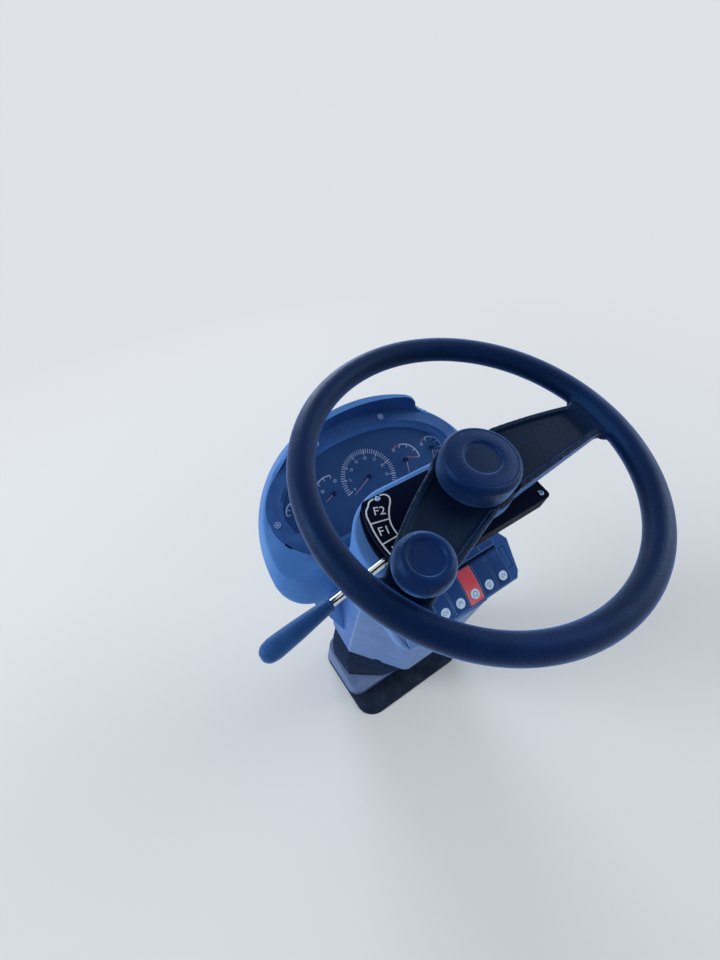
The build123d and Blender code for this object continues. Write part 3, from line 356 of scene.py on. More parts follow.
# Looks: each is found by a material slot's name in the record, or by a name of its own
materials = {
    # Its core colour darkens the spokes near the wheel's centre: painted shade
    "wheel_moulding": moulded(
        "wheel_grain", tone(4, 19, 54), tone(3, 13, 40), tone(9, 32, 78), 0.36, 1500.0, 0.0003, coarse=0.0004,
        sheen=1.0, sheen_spread=0.33, bloom=tone(98, 162, 255), shine=0.3, core=(tone(2, 8, 24), 0.165, 0.2),
    ),
    "pad_moulding": soft_cap("pad_grain", core=(tone(3, 13, 38), 0.021, 0.026)),
    "knob_moulding": soft_cap("knob_grain"),
    # Lighter than the wheel's moulding: painted light, where the grip is lit
    "grip_moulding": moulded(
        "grip_moulding", tone(32, 68, 122), tone(23, 55, 104), tone(46, 86, 144), 0.4, 1500.0, 0.0002,
        sheen=1.0, sheen_spread=0.4, bloom=tone(110, 170, 255),
    ),
    "housing_plastic": moulded(
        "binnacle_plastic", tone(76, 126, 194), tone(65, 112, 179), tone(96, 145, 209), 0.5, 1100.0, 0.0002,
        sheen=0.15, dust=0.1, worn=0.35,
    ),
    "cowl_plastic": moulded(
        "cowl_plastic", tone(98, 127, 180), tone(84, 112, 166), tone(122, 148, 196), 0.5, 1000.0, 0.0002,
        dust=0.18, worn=0.5,
    ),
    "switch_plastic": moulded(
        "rocker_plastic", tone(29, 58, 112), tone(22, 47, 96), tone(40, 74, 132), 0.38, 1600.0, 0.0001,
        sheen=0.2, shine=0.4,
    ),
    "hazard_plastic": moulded(
        "hazard_plastic", tone(208, 66, 80), tone(188, 54, 66), tone(224, 92, 102), 0.38, 1600.0, 0.0001,
        worn=0.2, glint=tone(255, 190, 190),
    ),
    "selector_plastic": moulded(
        "selector_plastic", tone(9, 16, 38), tone(6, 11, 28), tone(15, 25, 54), 0.58, 1300.0, 0.00015,
        glint=deep_sky, shine=0.06,
    ),
    "rubber": moulded(
        "folded_rubber", tone(9, 15, 32), tone(6, 11, 25), tone(14, 22, 44), 0.5, 800.0, 0.0001,
    ),
    "steel_painted": moulded(
        "painted_steel", tone(58, 62, 68), tone(48, 52, 58), tone(74, 79, 86), 0.45, 500.0, 0.0001,
        worn=0.3, glint=white,
    ),
    "dial_face": moulded(
        "dial_ink", tone(48, 74, 114), tone(39, 63, 101), tone(60, 88, 130), 0.5, 2500.0, 0.00005,
    ),
    "steel_bright": metal("turned_steel", tone(188, 192, 198), 0.26, (1, 1, 12)),
    "chrome_rod": metal("chrome_plate", tone(222, 227, 234), 0.07, (1, 12, 12)),
    "needle_paint": printed("needle_paint", tone(226, 186, 180), tone(204, 146, 146)),
    "clear_lens": lens_with_painted_veil(),
    "screw_face": metal("screw_face", tone(150, 176, 214), 0.3, (1, 1, 8)),
    "rocker_window": printed("rocker_window", tone(208, 230, 250), tone(182, 212, 242)),
    # A darker copy of the cowl's plastic: painted shade
    "cowl_side_shade": moulded(
        "cowl_side_shade", tone(60, 94, 164), tone(50, 81, 148), tone(78, 112, 182), 0.5, 1000.0, 0.0002,
        dust=0.1, worn=0.5,
    ),
    "tray_plastic": moulded(
        "tray_plastic", tone(42, 80, 142), tone(35, 69, 126), tone(56, 96, 160), 0.5, 1000.0, 0.0002,
        shine=0.4,
    ),
    "pedestal_plastic": moulded(
        "pedestal_plastic", tone(96, 114, 156), tone(82, 100, 142), tone(122, 136, 170), 0.55, 1000.0, 0.0002,
        dust=0.3, worn=0.4,
    ),
    # Pale look for bevelled edges and rocker lines: a painted highlight
    "painted_edge_highlight": moulded(
        "painted_edge_highlight", tone(116, 160, 218), tone(84, 130, 196), tone(150, 188, 232), 0.45, 1000.0, 0.0001,
        shine=0.4,
    ),
    # Paler look for the bellows' fold crests: a painted highlight
    "painted_fold_highlight": moulded(
        "painted_fold_highlight", tone(70, 92, 140), tone(52, 72, 118), tone(92, 114, 160), 0.45, 800.0, 0.0001,
    ),
    "mat_rubber": moulded(
        "mat_rubber", tone(12, 18, 31), tone(8, 13, 23), tone(19, 27, 44), 0.6, 600.0, 0.0003,
        dust=0.06,
    ),
    # The bezel's own darker tone, also used as painted shade on the visor's inner wall
    "bezel_tone_and_wall_shade": moulded(
        "bezel_tone_and_wall_shade", tone(42, 77, 134), tone(34, 66, 119), tone(56, 95, 156), 0.5, 1100.0, 0.0002,
        dust=0.05, worn=0.3,
    ),
    # Dark look: the needle hubs' own colour, and painted shade on the tray's bar, its groove line and the
    # release slot
    "dark_hub_and_painted_shade": moulded(
        "dark_hub_and_painted_shade", tone(8, 15, 34), tone(5, 10, 24), tone(13, 22, 46), 0.75, 900.0, 0.0001,
        glint=deep_sky, shine=0.1,
    ),
    "lamp_window": moulded(
        "lamp_window", tone(14, 30, 64), tone(9, 21, 48), tone(20, 40, 80), 0.3, 2500.0, 0.00005,
    ),
}
white_ink = printed("white_ink", tone(226, 232, 240), tone(196, 206, 222))
dial_white = printed("dial_white", tone(204, 222, 246), tone(168, 194, 228))
dial_red = printed("dial_red", tone(196, 92, 100), tone(168, 72, 84))
symbol_ink = printed("symbol_ink", tone(46, 86, 150), tone(70, 112, 176))

# A piece's further looks by their place in its list, and how near points are when they are merged
second_look = 1
third_look = 2
merge_distance = 1e-5

# CAD nodes that show as they are take the look of their slot
for slot_name, material in materials.items():
    for node in frame["nodes"].values():
        for entry in node.material_slots:
            if entry.material and entry.material.name.split(".")[0] == slot_name:
                entry.material = material


def finish(
    shape, name, body, material,
    where=None, smooth=32.0, replaces=(), bevel=0.0, edge_look=None,
):
    """Closes a bmesh into a named piece that rides on its body.

    A shape drawn in its own plane is placed by where. Edges sharper than smooth stay sharp, and a
    bevel in millimetres softens them, in a look of their own if one is given.
    """
    bmesh.ops.remove_doubles(shape, verts=shape.verts, dist=merge_distance)
    if where is not None:
        bmesh.ops.recalc_face_normals(shape, faces=shape.faces)
        shape.transform(where)
    mesh = bpy.data.meshes.new(name)
    shape.to_mesh(mesh)
    shape.free()
    mesh.materials.append(material)
    mesh.shade_smooth()
    mesh.set_sharp_from_angle(angle=math.radians(smooth))
    piece = bpy.data.objects.new(name, mesh)
    scene.collection.objects.link(piece)
    if bevel:
        soften(piece, bevel)
    if edge_look:
        mesh.materials.append(materials[edge_look])
        piece.modifiers["soft_edges"].material = second_look
    if body:
        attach(piece, body)
    if replaces:
        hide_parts(*replaces)
    return piece


def soften(piece, width, segments=3, angle=35.0):
    """Rounds the edges where faces meet at more than this angle."""
    edge = piece.modifiers.new("soft_edges", "BEVEL")
    edge.width = width * mm
    edge.segments = segments
    edge.limit_method = "ANGLE"
    edge.angle_limit = math.radians(angle)
    edge.harden_normals = True


def merged_copy(node):
    """The CAD node's triangles joined up, with flat faces made whole again."""
    join_distance = 0.02 * mm
    flat_within = math.radians(0.6)
    shape = bmesh.new()
    shape.from_mesh(frame["nodes"][node].data)
    bmesh.ops.remove_doubles(shape, verts=shape.verts, dist=join_distance)
    bmesh.ops.dissolve_limit(shape, angle_limit=flat_within, verts=shape.verts, edges=shape.edges)
    return shape


def round_uprights(shape, radius, low, high):
    """Rounds the long corners that run along the column, from low to high ahead of its axis."""
    shortest, most_slant = 20, 0.1
    corners = []
    for edge in shape.edges:
        start, end = (to_column @ vert.co for vert in edge.verts)
        along = end - start
        if abs(along.z) > shortest and along.xy.length < most_slant and low < start.y < high:
            corners.append(edge)
    bmesh.ops.bevel(
        shape, geom=corners, offset=radius * mm, segments=5, affect="EDGES", profile=0.5, material=-1,
        clamp_overlap=True,
    )


def dressed(
    node, name, bevel, smooth=32.0, look=None, round_corners=None, split_x=None, edge_look=None,
):
    """A copy of a CAD node with softened edges, standing for it.

    Its faces are cut apart at split_x across the instrument face, where a second look begins.
    """
    source = frame["nodes"][node]
    subparts = frame["record"]["subparts"]
    slot_name = next(part["material_slot"] for part in subparts if part["node"] == node)
    shape = merged_copy(node)
    if round_corners:
        round_uprights(shape, *round_corners)
    if split_x is not None:
        bmesh.ops.bisect_plane(
            shape, geom=shape.verts[:] + shape.edges[:] + shape.faces[:], dist=0.001 * mm,
            plane_co=face @ Vector((split_x, 0, 0)), plane_no=face.to_3x3() @ Vector((1, 0, 0)),
        )
    return finish(
        shape, name, source["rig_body"], materials[look or slot_name],
        smooth=smooth, replaces=(node,), bevel=bevel, edge_look=edge_look,
    )


def turned(corners, steps=96):
    """Spins a profile of (radius, height, rounding) corners about the local Z axis."""
    shape = bmesh.new()
    points = [shape.verts.new((radius, 0, height)) for radius, height, _ in corners]
    for first, second in zip(points, points[1:]):
        shape.edges.new((first, second))
    for point, (_, _, rounding) in zip(points, corners):
        if rounding:
            bmesh.ops.bevel(
                shape, geom=[point], offset=rounding, segments=5, affect="VERTICES", profile=0.5, material=-1,
            )
    bmesh.ops.spin(
        shape, geom=shape.verts[:] + shape.edges[:], cent=(0, 0, 0), axis=(0, 0, 1),
        angle=math.tau, steps=steps, use_merge=True,
    )
    return shape


ink_height = 0.2
letter_height = 0.08


def block(shape, size, where):
    """Adds a box of this size, in the piece's own millimetres."""
    bmesh.ops.create_cube(shape, size=1.0, matrix=where @ Matrix.Diagonal((*size, 1)))


def add_curve(shape, curve, where):
    """Adds a curve or a text to the shape as a mesh, and then clears it away."""
    holder = bpy.data.objects.new(curve.name, curve)
    scene.collection.objects.link(holder)
    flat = bpy.data.meshes.new_from_object(holder)
    flat.transform(where)
    shape.from_mesh(flat)
    bpy.data.objects.remove(holder)
    bpy.data.meshes.remove(flat)
    bpy.data.curves.remove(curve)


def ribbon(shape, points, width, where=None, closed=False):
    """Adds a printed line with round edges, drawn smoothly through points in a plane."""
    path = bpy.data.curves.new("ribbon", "CURVE")
    path.dimensions = "3D"
    path.bevel_depth = width / 2
    path.bevel_resolution = 2
    path.use_fill_caps = True
    run = path.splines.new("BEZIER")
    run.bezier_points.add(len(points) - 1)
    run.use_cyclic_u = closed
    for knot, (x, y) in zip(run.bezier_points, points):
        knot.co = (x, y, 0)
        knot.handle_left_type = knot.handle_right_type = "AUTO"
    run.resolution_u = 6
    add_curve(shape, path, (where or Matrix()) @ Matrix.Diagonal((1, 1, ink_height / width, 1)))


def around(radius, start, end, centre=(0, 0), step=8.0):
    """Points on an arc, from one heading to another in degrees."""
    count = max(2, round(abs(end - start) / step))
    headings = [start + (end - start) * number / count for number in range(count + 1)]
    return [tuple(Vector(centre) + radius * toward(heading)) for heading in headings]


def dash(shape, start, end, width):
    """Adds a short straight printed stroke between two points, as a thin slab."""
    start, end = Vector(start), Vector(end)
    along = end - start
    slant = math.degrees(math.atan2(along.y, along.x))
    block(shape, (along.length, width, ink_height), spot(*((start + end) / 2), turn=slant))


def tick(shape, heading, inner, outer, width, centre):
    """Adds a stroke that points at a centre, between two distances from it."""
    dash(shape, Vector(centre) + inner * toward(heading), Vector(centre) + outer * toward(heading), width)


def puck(shape, radius, height, x, y, base=0.0, steps=32):
    """Adds a short round slab."""
    bmesh.ops.create_cone(
        shape, cap_ends=True, segments=steps, radius1=radius, radius2=radius, depth=height,
        matrix=Matrix.Translation((x, y, base + height / 2)),
    )


def lettering(shape, text, size, where):
    """Adds printed letters, centred on their place."""
    words = bpy.data.curves.new("words", "FONT")
    words.body = text
    words.size = size
    words.align_x = "CENTER"
    words.align_y = "CENTER"
    words.extrude = letter_height
    add_curve(shape, words, where)


def melted(shape, name, round_off, voxel, passes):
    """One closed skin over the form, with its edges rounded and its inside corners filled out."""
    mesh = bpy.data.meshes.new(name)
    shape.to_mesh(mesh)
    shape.free()
    rough = bpy.data.objects.new(name, mesh)
    scene.collection.objects.link(rough)
    soften(rough, round_off, segments=4, angle=25.0)
    skin = rough.modifiers.new("skin", "REMESH")
    skin.mode = "VOXEL"
    skin.voxel_size = voxel * mm
    flow = rough.modifiers.new("flow", "SMOOTH")
    flow.factor = 0.5
    flow.iterations = passes
    bpy.context.view_layer.update()
    whole = bpy.data.meshes.new_from_object(rough.evaluated_get(bpy.context.evaluated_depsgraph_get()))
    bpy.data.objects.remove(rough)
    result = bmesh.new()
    result.from_mesh(whole)
    bpy.data.meshes.remove(whole)
    return result


# Steering wheel: the CAD moulding with rounded edges, melted into one soft skin
finish(
    melted(merged_copy("steering_wheel"), "wheel_skin", round_off=2.8, voxel=1.8, passes=7),
    "wheel_rim_and_spokes", "wheel", materials["wheel_moulding"],
    smooth=180, replaces=("steering_wheel",),
)

# Hub pad: a deep soft puck, a groove near its edge and a ringed bare disc in its middle
finish(
    turned([
        (0, -17.6, 0), (46.6, -17.6, 0), (47.4, -12, 2), (48.4, 5, 4), (47.6, 11.5, 4), (43.2, 15.9, 3),
        (41.2, 15.7, 0.6), (40.6, 14.9, 0.4), (40.0, 15.6, 0.6), (30, 16.9, 3), (24, 16.6, 1),
        (22.6, 15.3, 0.6), (21.6, 14.0, 0.5), (20.2, 13.7, 0.5), (8, 14.1, 2), (0, 14.2, 0),
    ], 128),
    "hub_pad", "wheel", materials["pad_moulding"], lifted(wheel), replaces=("hub_cap",),
)

# Spinner knob: a wide soft crown and a sunk disc with a fine rim
finish(
    turned([
        (6.2, 2.1, 0), (21.5, 2.1, 2), (28.8, 6, 4), (31.4, 15, 5), (31.3, 24, 5), (28.2, 31.5, 5),
        (23, 34.9, 3), (19.4, 34.3, 0.6), (18.6, 33.2, 0.5), (17.4, 31.6, 0.6), (9, 31.2, 2), (0, 31.1, 0),
    ], 96),
    "knob_shell", "knob", materials["knob_moulding"], knob, replaces=("spinner_knob",),
)

# Lever: a turned grip with a collar at its root
finish(
    turned([
        (5.05, 214, 0), (8.2, 214, 0.8), (8.6, 217, 1), (7.6, 218.5, 0.6), (8.4, 222, 2),
        (10.2, 244, 12), (12.2, 274, 14), (12.4, 292, 6), (9.6, 301.5, 5), (4, 304.4, 3), (0, 304.6, 0),
    ], 64),
    "lever_handle", "lever", materials["grip_moulding"], lever, replaces=("lever_grip",),
)

# Mouldings that keep their CAD form: each has its bevel in millimetres, or none where it is round already
dressed("binnacle_housing", "binnacle_shell", 0.0, smooth=40)
dressed("bezel", "bezel_ring", 0.4, look="bezel_tone_and_wall_shade")
dressed("neck", "neck_shell", 0.0, smooth=40)
dressed("hazard_switch", "hazard_rocker", 0.6, smooth=40)

# Visor: its inner wall, which faces the middle of the dials, takes a darker look, painted shade
visor_shell = dressed("visor", "visor_shell", 2.4, smooth=50)
visor_shell.data.materials.append(materials["bezel_tone_and_wall_shade"])
face_turn = to_face.to_3x3().normalized()
inner_wall = 0.5
for wall in visor_shell.data.polygons:
    inward = -(to_face @ wall.center).xy.normalized()
    if inward.dot((face_turn @ wall.normal).xy) > inner_wall:
        wall.material_index = second_look

# Switch tray: pale edges, a painted highlight, and the cowl's look on its sides and left of the last window
tray_parts = (  # CAD node, piece, look and the angle up to which its edges are smooth
    ("switch_tray", "tray_frame", "tray_plastic", 32),
    ("rocker_switches", "rockers", "switch_plastic", 40),
    ("switch_blanks", "blank_tiles", "switch_plastic", 32),
)
side_wall = 0.3
for node_name, piece_name, look, smooth in tray_parts:
    piece = dressed(
        node_name, piece_name, 0.5, smooth=smooth, look=look, split_x=blank_rocker_x, edge_look="painted_edge_highlight",
    )
    piece.data.materials.append(materials["cowl_plastic"])
    for wall in piece.data.polygons:
        upright = piece_name == "tray_frame" and abs((face_turn @ wall.normal).z) < side_wall
        if upright or (to_face @ wall.center).x < blank_rocker_x:
            wall.material_index = third_look

# Cowl, selector and pedestal
dressed("cowl_rear", "cowl_rear_shell", 1.0, round_corners=(9.0, -200, -30))
# The front shell takes a darker copy of the cowl's plastic: painted shade on its sides
dressed("cowl_front", "cowl_front_shell", 1.0, round_corners=(7.0, 30, 200), look="cowl_side_shade")
dressed("selector_box", "selector_body", 0.5)
dressed("selector_plate", "selector_cover", 0.0)
dressed("pedestal_cover", "pedestal_shell", 0.8, look="pedestal_plastic")
dressed("floor_seal", "seal_strip", 0.0, look="mat_rubber")

# Bellows: a softened copy of the folds that bends from the pedestal to the column. At its foot the
# side corners are drawn towards the driver and the rear ones are spread, and it swells a little half
# way up.
fold_form = merged_copy("bellows")
foot_level = pedestal_top - wheel_centre.length / mm
side_corner_x = 100.0
side_corner_y = 20.0
rear_corner_y = -40.0
foot_reach = 18.0
side_narrowing = 0.04
rear_spread = 0.2
swelling = 0.05
for knot in fold_form.verts:
    place = to_column @ knot.co
    rise = min(1.0, max(0.0, (place.z - foot_level) / fold_height))
    if abs(place.x) > side_corner_x and place.y < side_corner_y:
        place.y -= foot_reach * (1 - rise)
        place.x *= 1 - side_narrowing * (1 - rise)
    elif place.y < rear_corner_y:
        place.x *= 1 + rear_spread * (1 - rise)
    place.x *= 1 + swelling * math.sin(math.pi * rise)
    knot.co = column @ place
# The bevelled crests of the folds take a paler look: a painted highlight
folds = finish(
    fold_form, "bellows_folds", None, materials["rubber"], smooth=32,
    replaces=("bellows",), bevel=0.4, edge_look="painted_fold_highlight",
)
folds.modifiers["soft_edges"].use_clamp_overlap = False
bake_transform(folds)

# Selector printing: a white band round the lever's quadrant, with a cell and a letter for each gear.
# The band's two lines are arcs about the column that turn round a screw at their upper ends.
band_outer = 127.0
band_inner = 103.2
band_line = 2.0
band_end = 211.0
outer_turn = [(-113.6, 48.2), (-108.0, 53.4), (-101.0, 54.6)]
inner_turn = [(-100.2, 19.6), (-92.2, 32.6), (-84.6, 41.4), (-82.0, 47.6), (-84.6, 53.0), (-91.6, 55.4)]
cell_line = 1.7
first_cell = 168.0
first_cell_overlap = 2.4
letter_size = 16.5
letter_lift = 0.05
letters = (  # the letter, its heading, its distance from the column and its slant
    ("F2", 160.9, 110.6, -22), ("F1", 174.9, 115.0, -13), ("N", 188.5, 115.2, 3), ("R", 202.5, 115.2, 17),
)
band = bmesh.new()
ribbon(band, around(band_outer, band_end, 160) + outer_turn, band_line)
ribbon(band, around(band_inner, band_end, 174) + inner_turn, band_line)
for cell_end in (first_cell, 181.5, 195.0, band_end):
    inner_end = band_inner - first_cell_overlap * (cell_end == first_cell)
    tick(band, cell_end, inner_end, band_outer, cell_line, (0, 0))
for letter, heading, distance, slant in letters:
    lettering(band, letter, letter_size, spot(*(distance * toward(heading)), letter_lift, slant))
finish(band, "selector_band", "column", white_ink, lifted(selector, z=0.08))

# Two screws that hold the selector's cover, each with a round socket
cover_screws = ((-96.5, 52.0), (99.0, -47.0))
for number, place in enumerate(cover_screws, 1):
    head = turned([
        (0, -1.2, 0), (2.3, -1.2, 0), (2.3, 0.1, 0), (3.9, 0.1, 0), (3.9, 0.9, 0.4), (3.0, 1.7, 0.5),
        (1.7, 1.8, 0.2), (1.7, 0.6, 0.1), (0, 0.6, 0),
    ], 24)
    finish(
        head, f"cover_screw_{number}", "column", materials["screw_face"],
        lifted(selector, *place), smooth=40,
    )

# Dials: the gauges stand in a row, at these places across the face
far_left, left, middle, right, far_right = -146.0, -72.6, 1.8, 84.1, 146.0

# Dial printing: a ring of ticks with numbers in the middle, and four small gauges beside it
middle_gauge = Vector((middle, 0.0))
scale_start = 195.0
tick_step = 5.0
tick_end = 53.5
long_tick = (42.0, 1.9)  # where it begins, and its width
short_tick = (45.0, 1.25)
ticks_to_number = 6
number_distance = 36.0
number_size = 7.5
marks = bmesh.new()
for number in range(48):
    start, width = short_tick if number % ticks_to_number else long_tick
    tick(marks, scale_start - tick_step * number, start, tick_end, width, middle_gauge)
for number in range(8):
    place = middle_gauge + number_distance * toward(scale_start - tick_step * ticks_to_number * number)
    lettering(marks, str(5 * number), number_size, spot(*place, letter_lift))

small_gauges = (  # place across the face, radius, first and last heading, and how many steps
    (right, 31.0, 88, -10, 3), (far_right, 23.0, 100, -14, 3),
    (left, 33.5, 176, 74, 4), (far_left, 17.0, 184, 66, 3),
)
small_line = 2.4
small_tick = 6.5
small_tick_width = 1.4
for x, radius, start, end, steps in small_gauges:
    ribbon(marks, around(radius, start, end, (x, 0.0)), small_line)
    for number in range(steps + 1):
        heading = start + (end - start) * number / steps
        tick(marks, heading, radius - small_tick, radius, small_tick_width, (x, 0.0))

# Small rings with a dash in them beside the scales: one for each right gauge and two for the left
unit_ring = 2.6
unit_line = 0.9
unit_dash = 1.2
for x, y in ((71.1, 26.0), (130.8, 14.0), (-88.8, 12.0), (-60.0, 20.0)):
    ribbon(marks, around(unit_ring, 0, 320, (x, y), 40), unit_line, closed=True)
    dash(marks, (x - unit_dash, y), (x + unit_dash, y), unit_line)
finish(marks, "dial_marks", "column", dial_white, dial)

# Red marks: a short arc before the scales of the two right gauges, and a stroke at their ends
warm_marks = bmesh.new()
ribbon(warm_marks, around(31.0, 116, 94, (right, 0.0)), small_line)
ribbon(warm_marks, around(23.0, 130, 106, (far_right, 0.0)), small_line)
dash(warm_marks, (89.3, 3.9), (109.6, -4.8), 2.0)
dash(warm_marks, (150.8, -8.2), (163.7, -13.4), 1.8)
finish(warm_marks, "dial_red_marks", "column", dial_red, dial)

# Needles: slim tapered pointers on low dark hubs
needle_level = 4.6
needle_width = 1.6
hub_radius = 4.4
hub_height = 5.8
needles = (  # place across the face, length and heading
    (far_left, 19.5, 75), (left, 21.2, 201), (middle, 44.2, 204), (right, 31.8, 255), (far_right, 19.5, 250),
)
unit_needle = Matrix.Translation((0.5, 0, 0)) @ Matrix.Rotation(math.radians(90), 4, "Y")
pointers = bmesh.new()
hubs = bmesh.new()
for x, length, heading in needles:
    sized = Matrix.Diagonal((length, needle_width, 1, 1)) @ unit_needle
    bmesh.ops.create_cone(
        pointers, cap_ends=True, segments=4, radius1=0.5, radius2=0.22, depth=1.0,
        matrix=spot(x, 0.0, needle_level, heading) @ sized,
    )
    puck(hubs, hub_radius, hub_height, x, 0.0)
finish(
    pointers, "needle_pointers", "column", materials["needle_paint"], dial,
    replaces=("gauge_needles",),
)
finish(hubs, "needle_hubs", "column", materials["dark_hub_and_painted_shade"], dial, bevel=0.8)

# Lamp windows under the ring of ticks, dark until lit
lamp_size = (9.0, 6.0, 0.3)
first_lamp_x = -47.0
lamp_pitch = 12.0
lamp_y = -52.0
windows = bmesh.new()
for number in range(9):
    block(windows, lamp_size, spot(first_lamp_x + lamp_pitch * number, lamp_y))
finish(windows, "lamp_windows", "column", materials["lamp_window"], dial, bevel=0.12)

# Painted shade: a dark bar between the blank tiles and the rockers, and a dark line in the groove pressed
# round the tray's end
bar_size = (208.0, 4.2, 0.4)
bar_place = (-6.0, -197.5)
shade_bar = bmesh.new()
block(shade_bar, bar_size, spot(*bar_place))
finish(shade_bar, "tray_bar_shade", "column", materials["dark_hub_and_painted_shade"], tray, bevel=0.12)
groove_shade_width = 0.9
end_corners = [(101.5, -204.0), (113.0, -204.0), (113.0, -240.0), (101.5, -240.0)]
groove_shade = bmesh.new()
for corner, following in zip(end_corners, end_corners[1:] + end_corners[:1]):
    dash(groove_shade, corner, following, groove_shade_width)
finish(
    groove_shade, "tray_end_groove_shade", "column", materials["dark_hub_and_painted_shade"], lifted(tray, z=0.05),
)

# Bezel: a pale ring on each screw cap, and a dark stroke at its lower left, painted shade in the release slot
cap_places = ((68.0, 90.8), (-68.0, 90.8), (188.0, -8.0), (-188.0, -8.0))
cap_ring = 4.6
cap_line = 1.3
cap_dot = 2.0
cap_dot_height = 0.3
cap_rings = bmesh.new()
for x, y in cap_places:
    ribbon(cap_rings, around(cap_ring, 0, 345, (x, y), 15), cap_line, closed=True)
    puck(cap_rings, cap_dot, cap_dot_height, x, y)
finish(cap_rings, "cap_rings", "column", materials["screw_face"], lifted(face, z=1.55))
slot_width = 3.0
slot_shade = bmesh.new()
ribbon(slot_shade, [(-190.0, -41.0), (-187.4, -46.0), (-183.4, -52.0)], slot_width)
finish(slot_shade, "release_slot_shade", "column", materials["dark_hub_and_painted_shade"], lifted(face, z=0.5))


def rocker_sign(shape, kind, where):
    """Adds one of four generic signs, a few millimetres across and centred on its place."""
    line = 0.8
    if kind == "beam":
        ribbon(shape, around(2.6, 0, 330, (-1.0, 0.0), 30), line, where, closed=True)
        for y in (-1.8, 0.0, 1.8):
            ribbon(shape, [(2.6, y), (5.0, y)], 0.7, where)
    elif kind == "ring":
        ribbon(shape, around(3.4, 0, 330, (0.0, 0.0), 30), line, where, closed=True)
        ribbon(shape, [(0.0, -1.6), (0.0, 1.6)], 0.9, where)
    elif kind == "triangle":
        ribbon(shape, [(-3.8, -2.4), (0.0, 3.8), (3.8, -2.4), (-3.8, -2.4)], 0.9, where)
    elif kind == "sweep":
        ribbon(shape, around(3.6, 200, -20, (0.0, -1.0), 20), line, where)
        ribbon(shape, [(0.0, -1.0), (2.0, 2.2)], line, where)


# Rocker windows: a pale round window with a sign in it, on each rocker but the one at the left end
window_y = -243.2
window_radius = 8.0
window_height = 0.7
sign_lift = 0.75
window_level = rocker_height(window_y)
rocker_signs = (
    (84.3, "beam"), (54.0, "ring"), (24.0, "triangle"), (-6.0, "sweep"), (-36.0, "beam"), (-66.0, "ring"),
)
rocker_windows = bmesh.new()
signs = bmesh.new()
for x, kind in rocker_signs:
    puck(rocker_windows, window_radius, window_height, x, window_y, window_level, 40)
    rocker_sign(signs, kind, spot(x, window_y, window_level + sign_lift))

# Rocker edges: a painted highlight, a pale line along the long edges of the same rockers, bowed like their
# faces. The last one's left edge stays plain.
edge_line = 0.6
edge_sink = 0.2
edge_shares = (-0.96, -0.6, -0.2, 0.2, 0.6, 0.96)
edge_run = [rocker_mid + rocker_half * share for share in edge_shares]
edge_curve = [(y, rocker_height(y) - edge_sink) for y in edge_run]
along_rocker = Matrix(((0, 0, 1, 0), (1, 0, 0, 0), (0, 1, 0, 0), (0, 0, 0, 1)))
edge_thickness = Matrix.Diagonal((1, 1, 3, 1))
rocker_middles = [first_rocker_x - rocker_pitch * number for number in range(len(rocker_signs))]
edge_places = [x + side * rocker_flat_half for x in rocker_middles for side in (1, -1)][:-1]
edge_highlight_strokes = bmesh.new()
for x in edge_places:
    ribbon(edge_highlight_strokes, edge_curve, edge_line, spot(x, 0) @ along_rocker @ edge_thickness)
finish(edge_highlight_strokes, "rocker_edge_highlights", "column", materials["painted_edge_highlight"], tray)
finish(
    rocker_windows, "rocker_windows", "column", materials["rocker_window"], tray,
    bevel=0.25,
)
finish(signs, "rocker_signs", "column", symbol_ink, tray)

# Camera: the photograph's place and angle, with its height and focal length in its own pixels
photo_height = 960
photo_focal = 440.0
camera_data = bpy.data.cameras.new("photo_camera")
camera_data.sensor_fit = "VERTICAL"
camera_data.sensor_height = 36.0
camera_data.lens = camera_data.sensor_height * photo_focal / photo_height
camera = bpy.data.objects.new("photo_camera", camera_data)
scene.collection.objects.link(camera)
camera_right = Vector((0.8386, -0.5355, -0.1030))
camera_up = Vector((0.3980, 0.4736, 0.7850))
camera_back = Vector((-0.3727, -0.6990, 0.6105))
camera.matrix_world = Matrix((camera_right, camera_up, camera_back)).transposed().to_4x4()
camera.location = (-0.31094, -0.56794, 1.05115)
scene.camera = camera

# Floor: plain and pale, keeping the console's shadow and fading into the same pale backdrop. Its
# size and the distances of the fade are in metres.
backdrop_tone = (0.74, 0.76, 0.79, 1)
floor_tone = (0.72, 0.72, 0.72, 1)
floor_roughness = 0.9
floor_half = 60.0
fade_start = 1.1
fade_end = 3.2
floor_tool = bmesh.new()
bmesh.ops.create_grid(floor_tool, x_segments=1, y_segments=1, size=floor_half)
floor_mesh = bpy.data.meshes.new("floor")
floor_tool.to_mesh(floor_mesh)
floor_tool.free()
floor = bpy.data.objects.new("floor", floor_mesh)
floor_look = Shader("pale_floor")
floor_look.surface.inputs["Base Color"].default_value = floor_tone
floor_look.surface.inputs["Roughness"].default_value = floor_roughness
far = floor_look.add("ShaderNodeVectorMath", operation="LENGTH")
floor_look.join(floor_look.coords, far.inputs[0])
fade = floor_look.span(far.outputs["Value"], 0.0, 1.0, fade_start, fade_end)


def seen_ray(tree):
    """One for what the camera sees, straight or in metal or glass, and nought for the light itself."""
    ray = tree.nodes.new("ShaderNodeLightPath")
    total = ray.outputs["Is Camera Ray"]
    for name in ("Is Glossy Ray", "Is Transmission Ray"):
        larger = tree.nodes.new("ShaderNodeMath")
        larger.operation = "MAXIMUM"
        tree.links.new(total, larger.inputs[0])
        tree.links.new(ray.outputs[name], larger.inputs[1])
        total = larger.outputs[0]
    return total


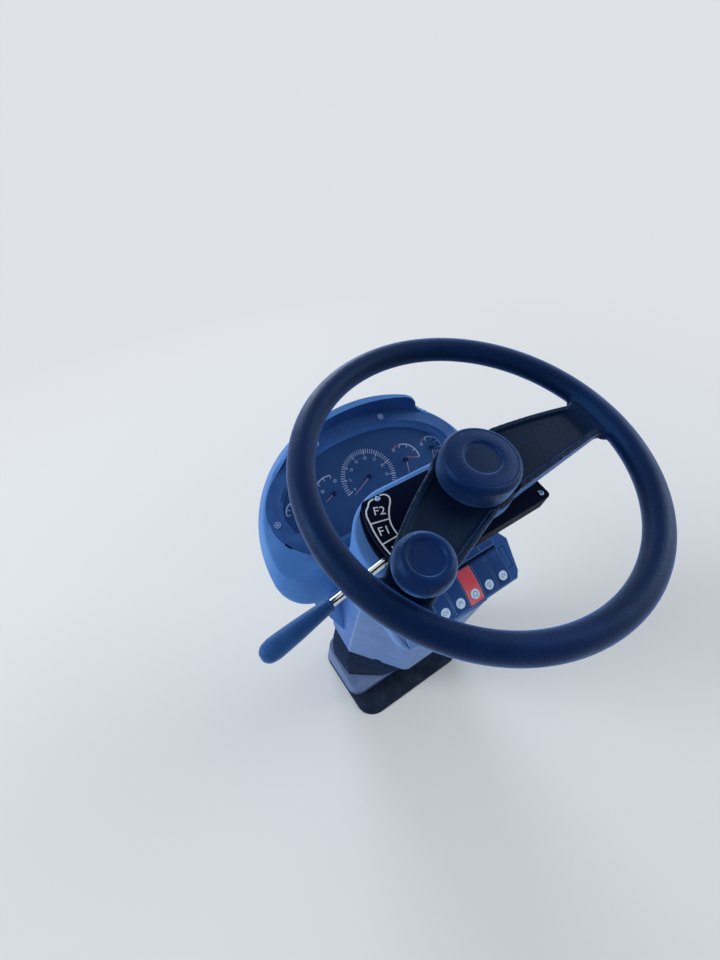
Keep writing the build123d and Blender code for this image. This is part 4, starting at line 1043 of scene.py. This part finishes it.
backdrop = floor_look.add("ShaderNodeEmission")
backdrop.inputs["Color"].default_value = backdrop_tone
mixed = floor_look.add("ShaderNodeMixShader")
floor_look.join(floor_look.product(fade, seen_ray(floor_look.tree)), mixed.inputs[0])
floor_look.join(floor_look.surface.outputs[0], mixed.inputs[1])
floor_look.join(backdrop.outputs[0], mixed.inputs[2])
floor_look.join(mixed.outputs[0], floor_look.tree.nodes["Material Output"].inputs["Surface"])
floor_mesh.materials.append(floor_look.material)
scene.collection.objects.link(floor)

# Light: a pale studio all round
studio_tone = (0.88, 0.94, 1.0, 1)
studio_level = 0.5
world = bpy.data.worlds.new("studio")
scene.world = world
world.use_nodes = True
wall_tree = world.node_tree
soft_light = wall_tree.nodes["Background"]
soft_light.inputs["Color"].default_value = studio_tone
soft_light.inputs["Strength"].default_value = studio_level
pale_wall = wall_tree.nodes.new("ShaderNodeBackground")
pale_wall.inputs["Color"].default_value = backdrop_tone
choose = wall_tree.nodes.new("ShaderNodeMixShader")
wall_tree.links.new(seen_ray(wall_tree), choose.inputs[0])
wall_tree.links.new(soft_light.outputs[0], choose.inputs[1])
wall_tree.links.new(pale_wall.outputs[0], choose.inputs[2])
wall_tree.links.new(choose.outputs[0], wall_tree.nodes["World Output"].inputs["Surface"])

# Lamps: a large soft one on the left, a weaker one across from it and one ahead
lamp_target = Vector((0, -0.2, 0.5))
cool = (0.93, 0.97, 1.0)
cooler = (0.84, 0.92, 1.0)
lamps = (  # name, place and size in metres, power in watts, colour
    ("left_lamp", (-5.0, 1.6, 3.9), 2.6, 205, cool),
    ("across_lamp", (4.6, -1.8, 3.0), 3.2, 95, cool),
    ("ahead_lamp", (1.4, 5.6, 3.0), 2.6, 130, cooler),
)
for name, place, size, power, colour in lamps:
    lamp_data = bpy.data.lights.new(name, "AREA")
    lamp_data.size = size
    lamp_data.energy = power
    lamp_data.color = colour
    lamp = bpy.data.objects.new(name, lamp_data)
    scene.collection.objects.link(lamp)
    lamp.location = place
    lamp.rotation_euler = (lamp_target - Vector(place)).to_track_quat("-Z", "Y").to_euler()
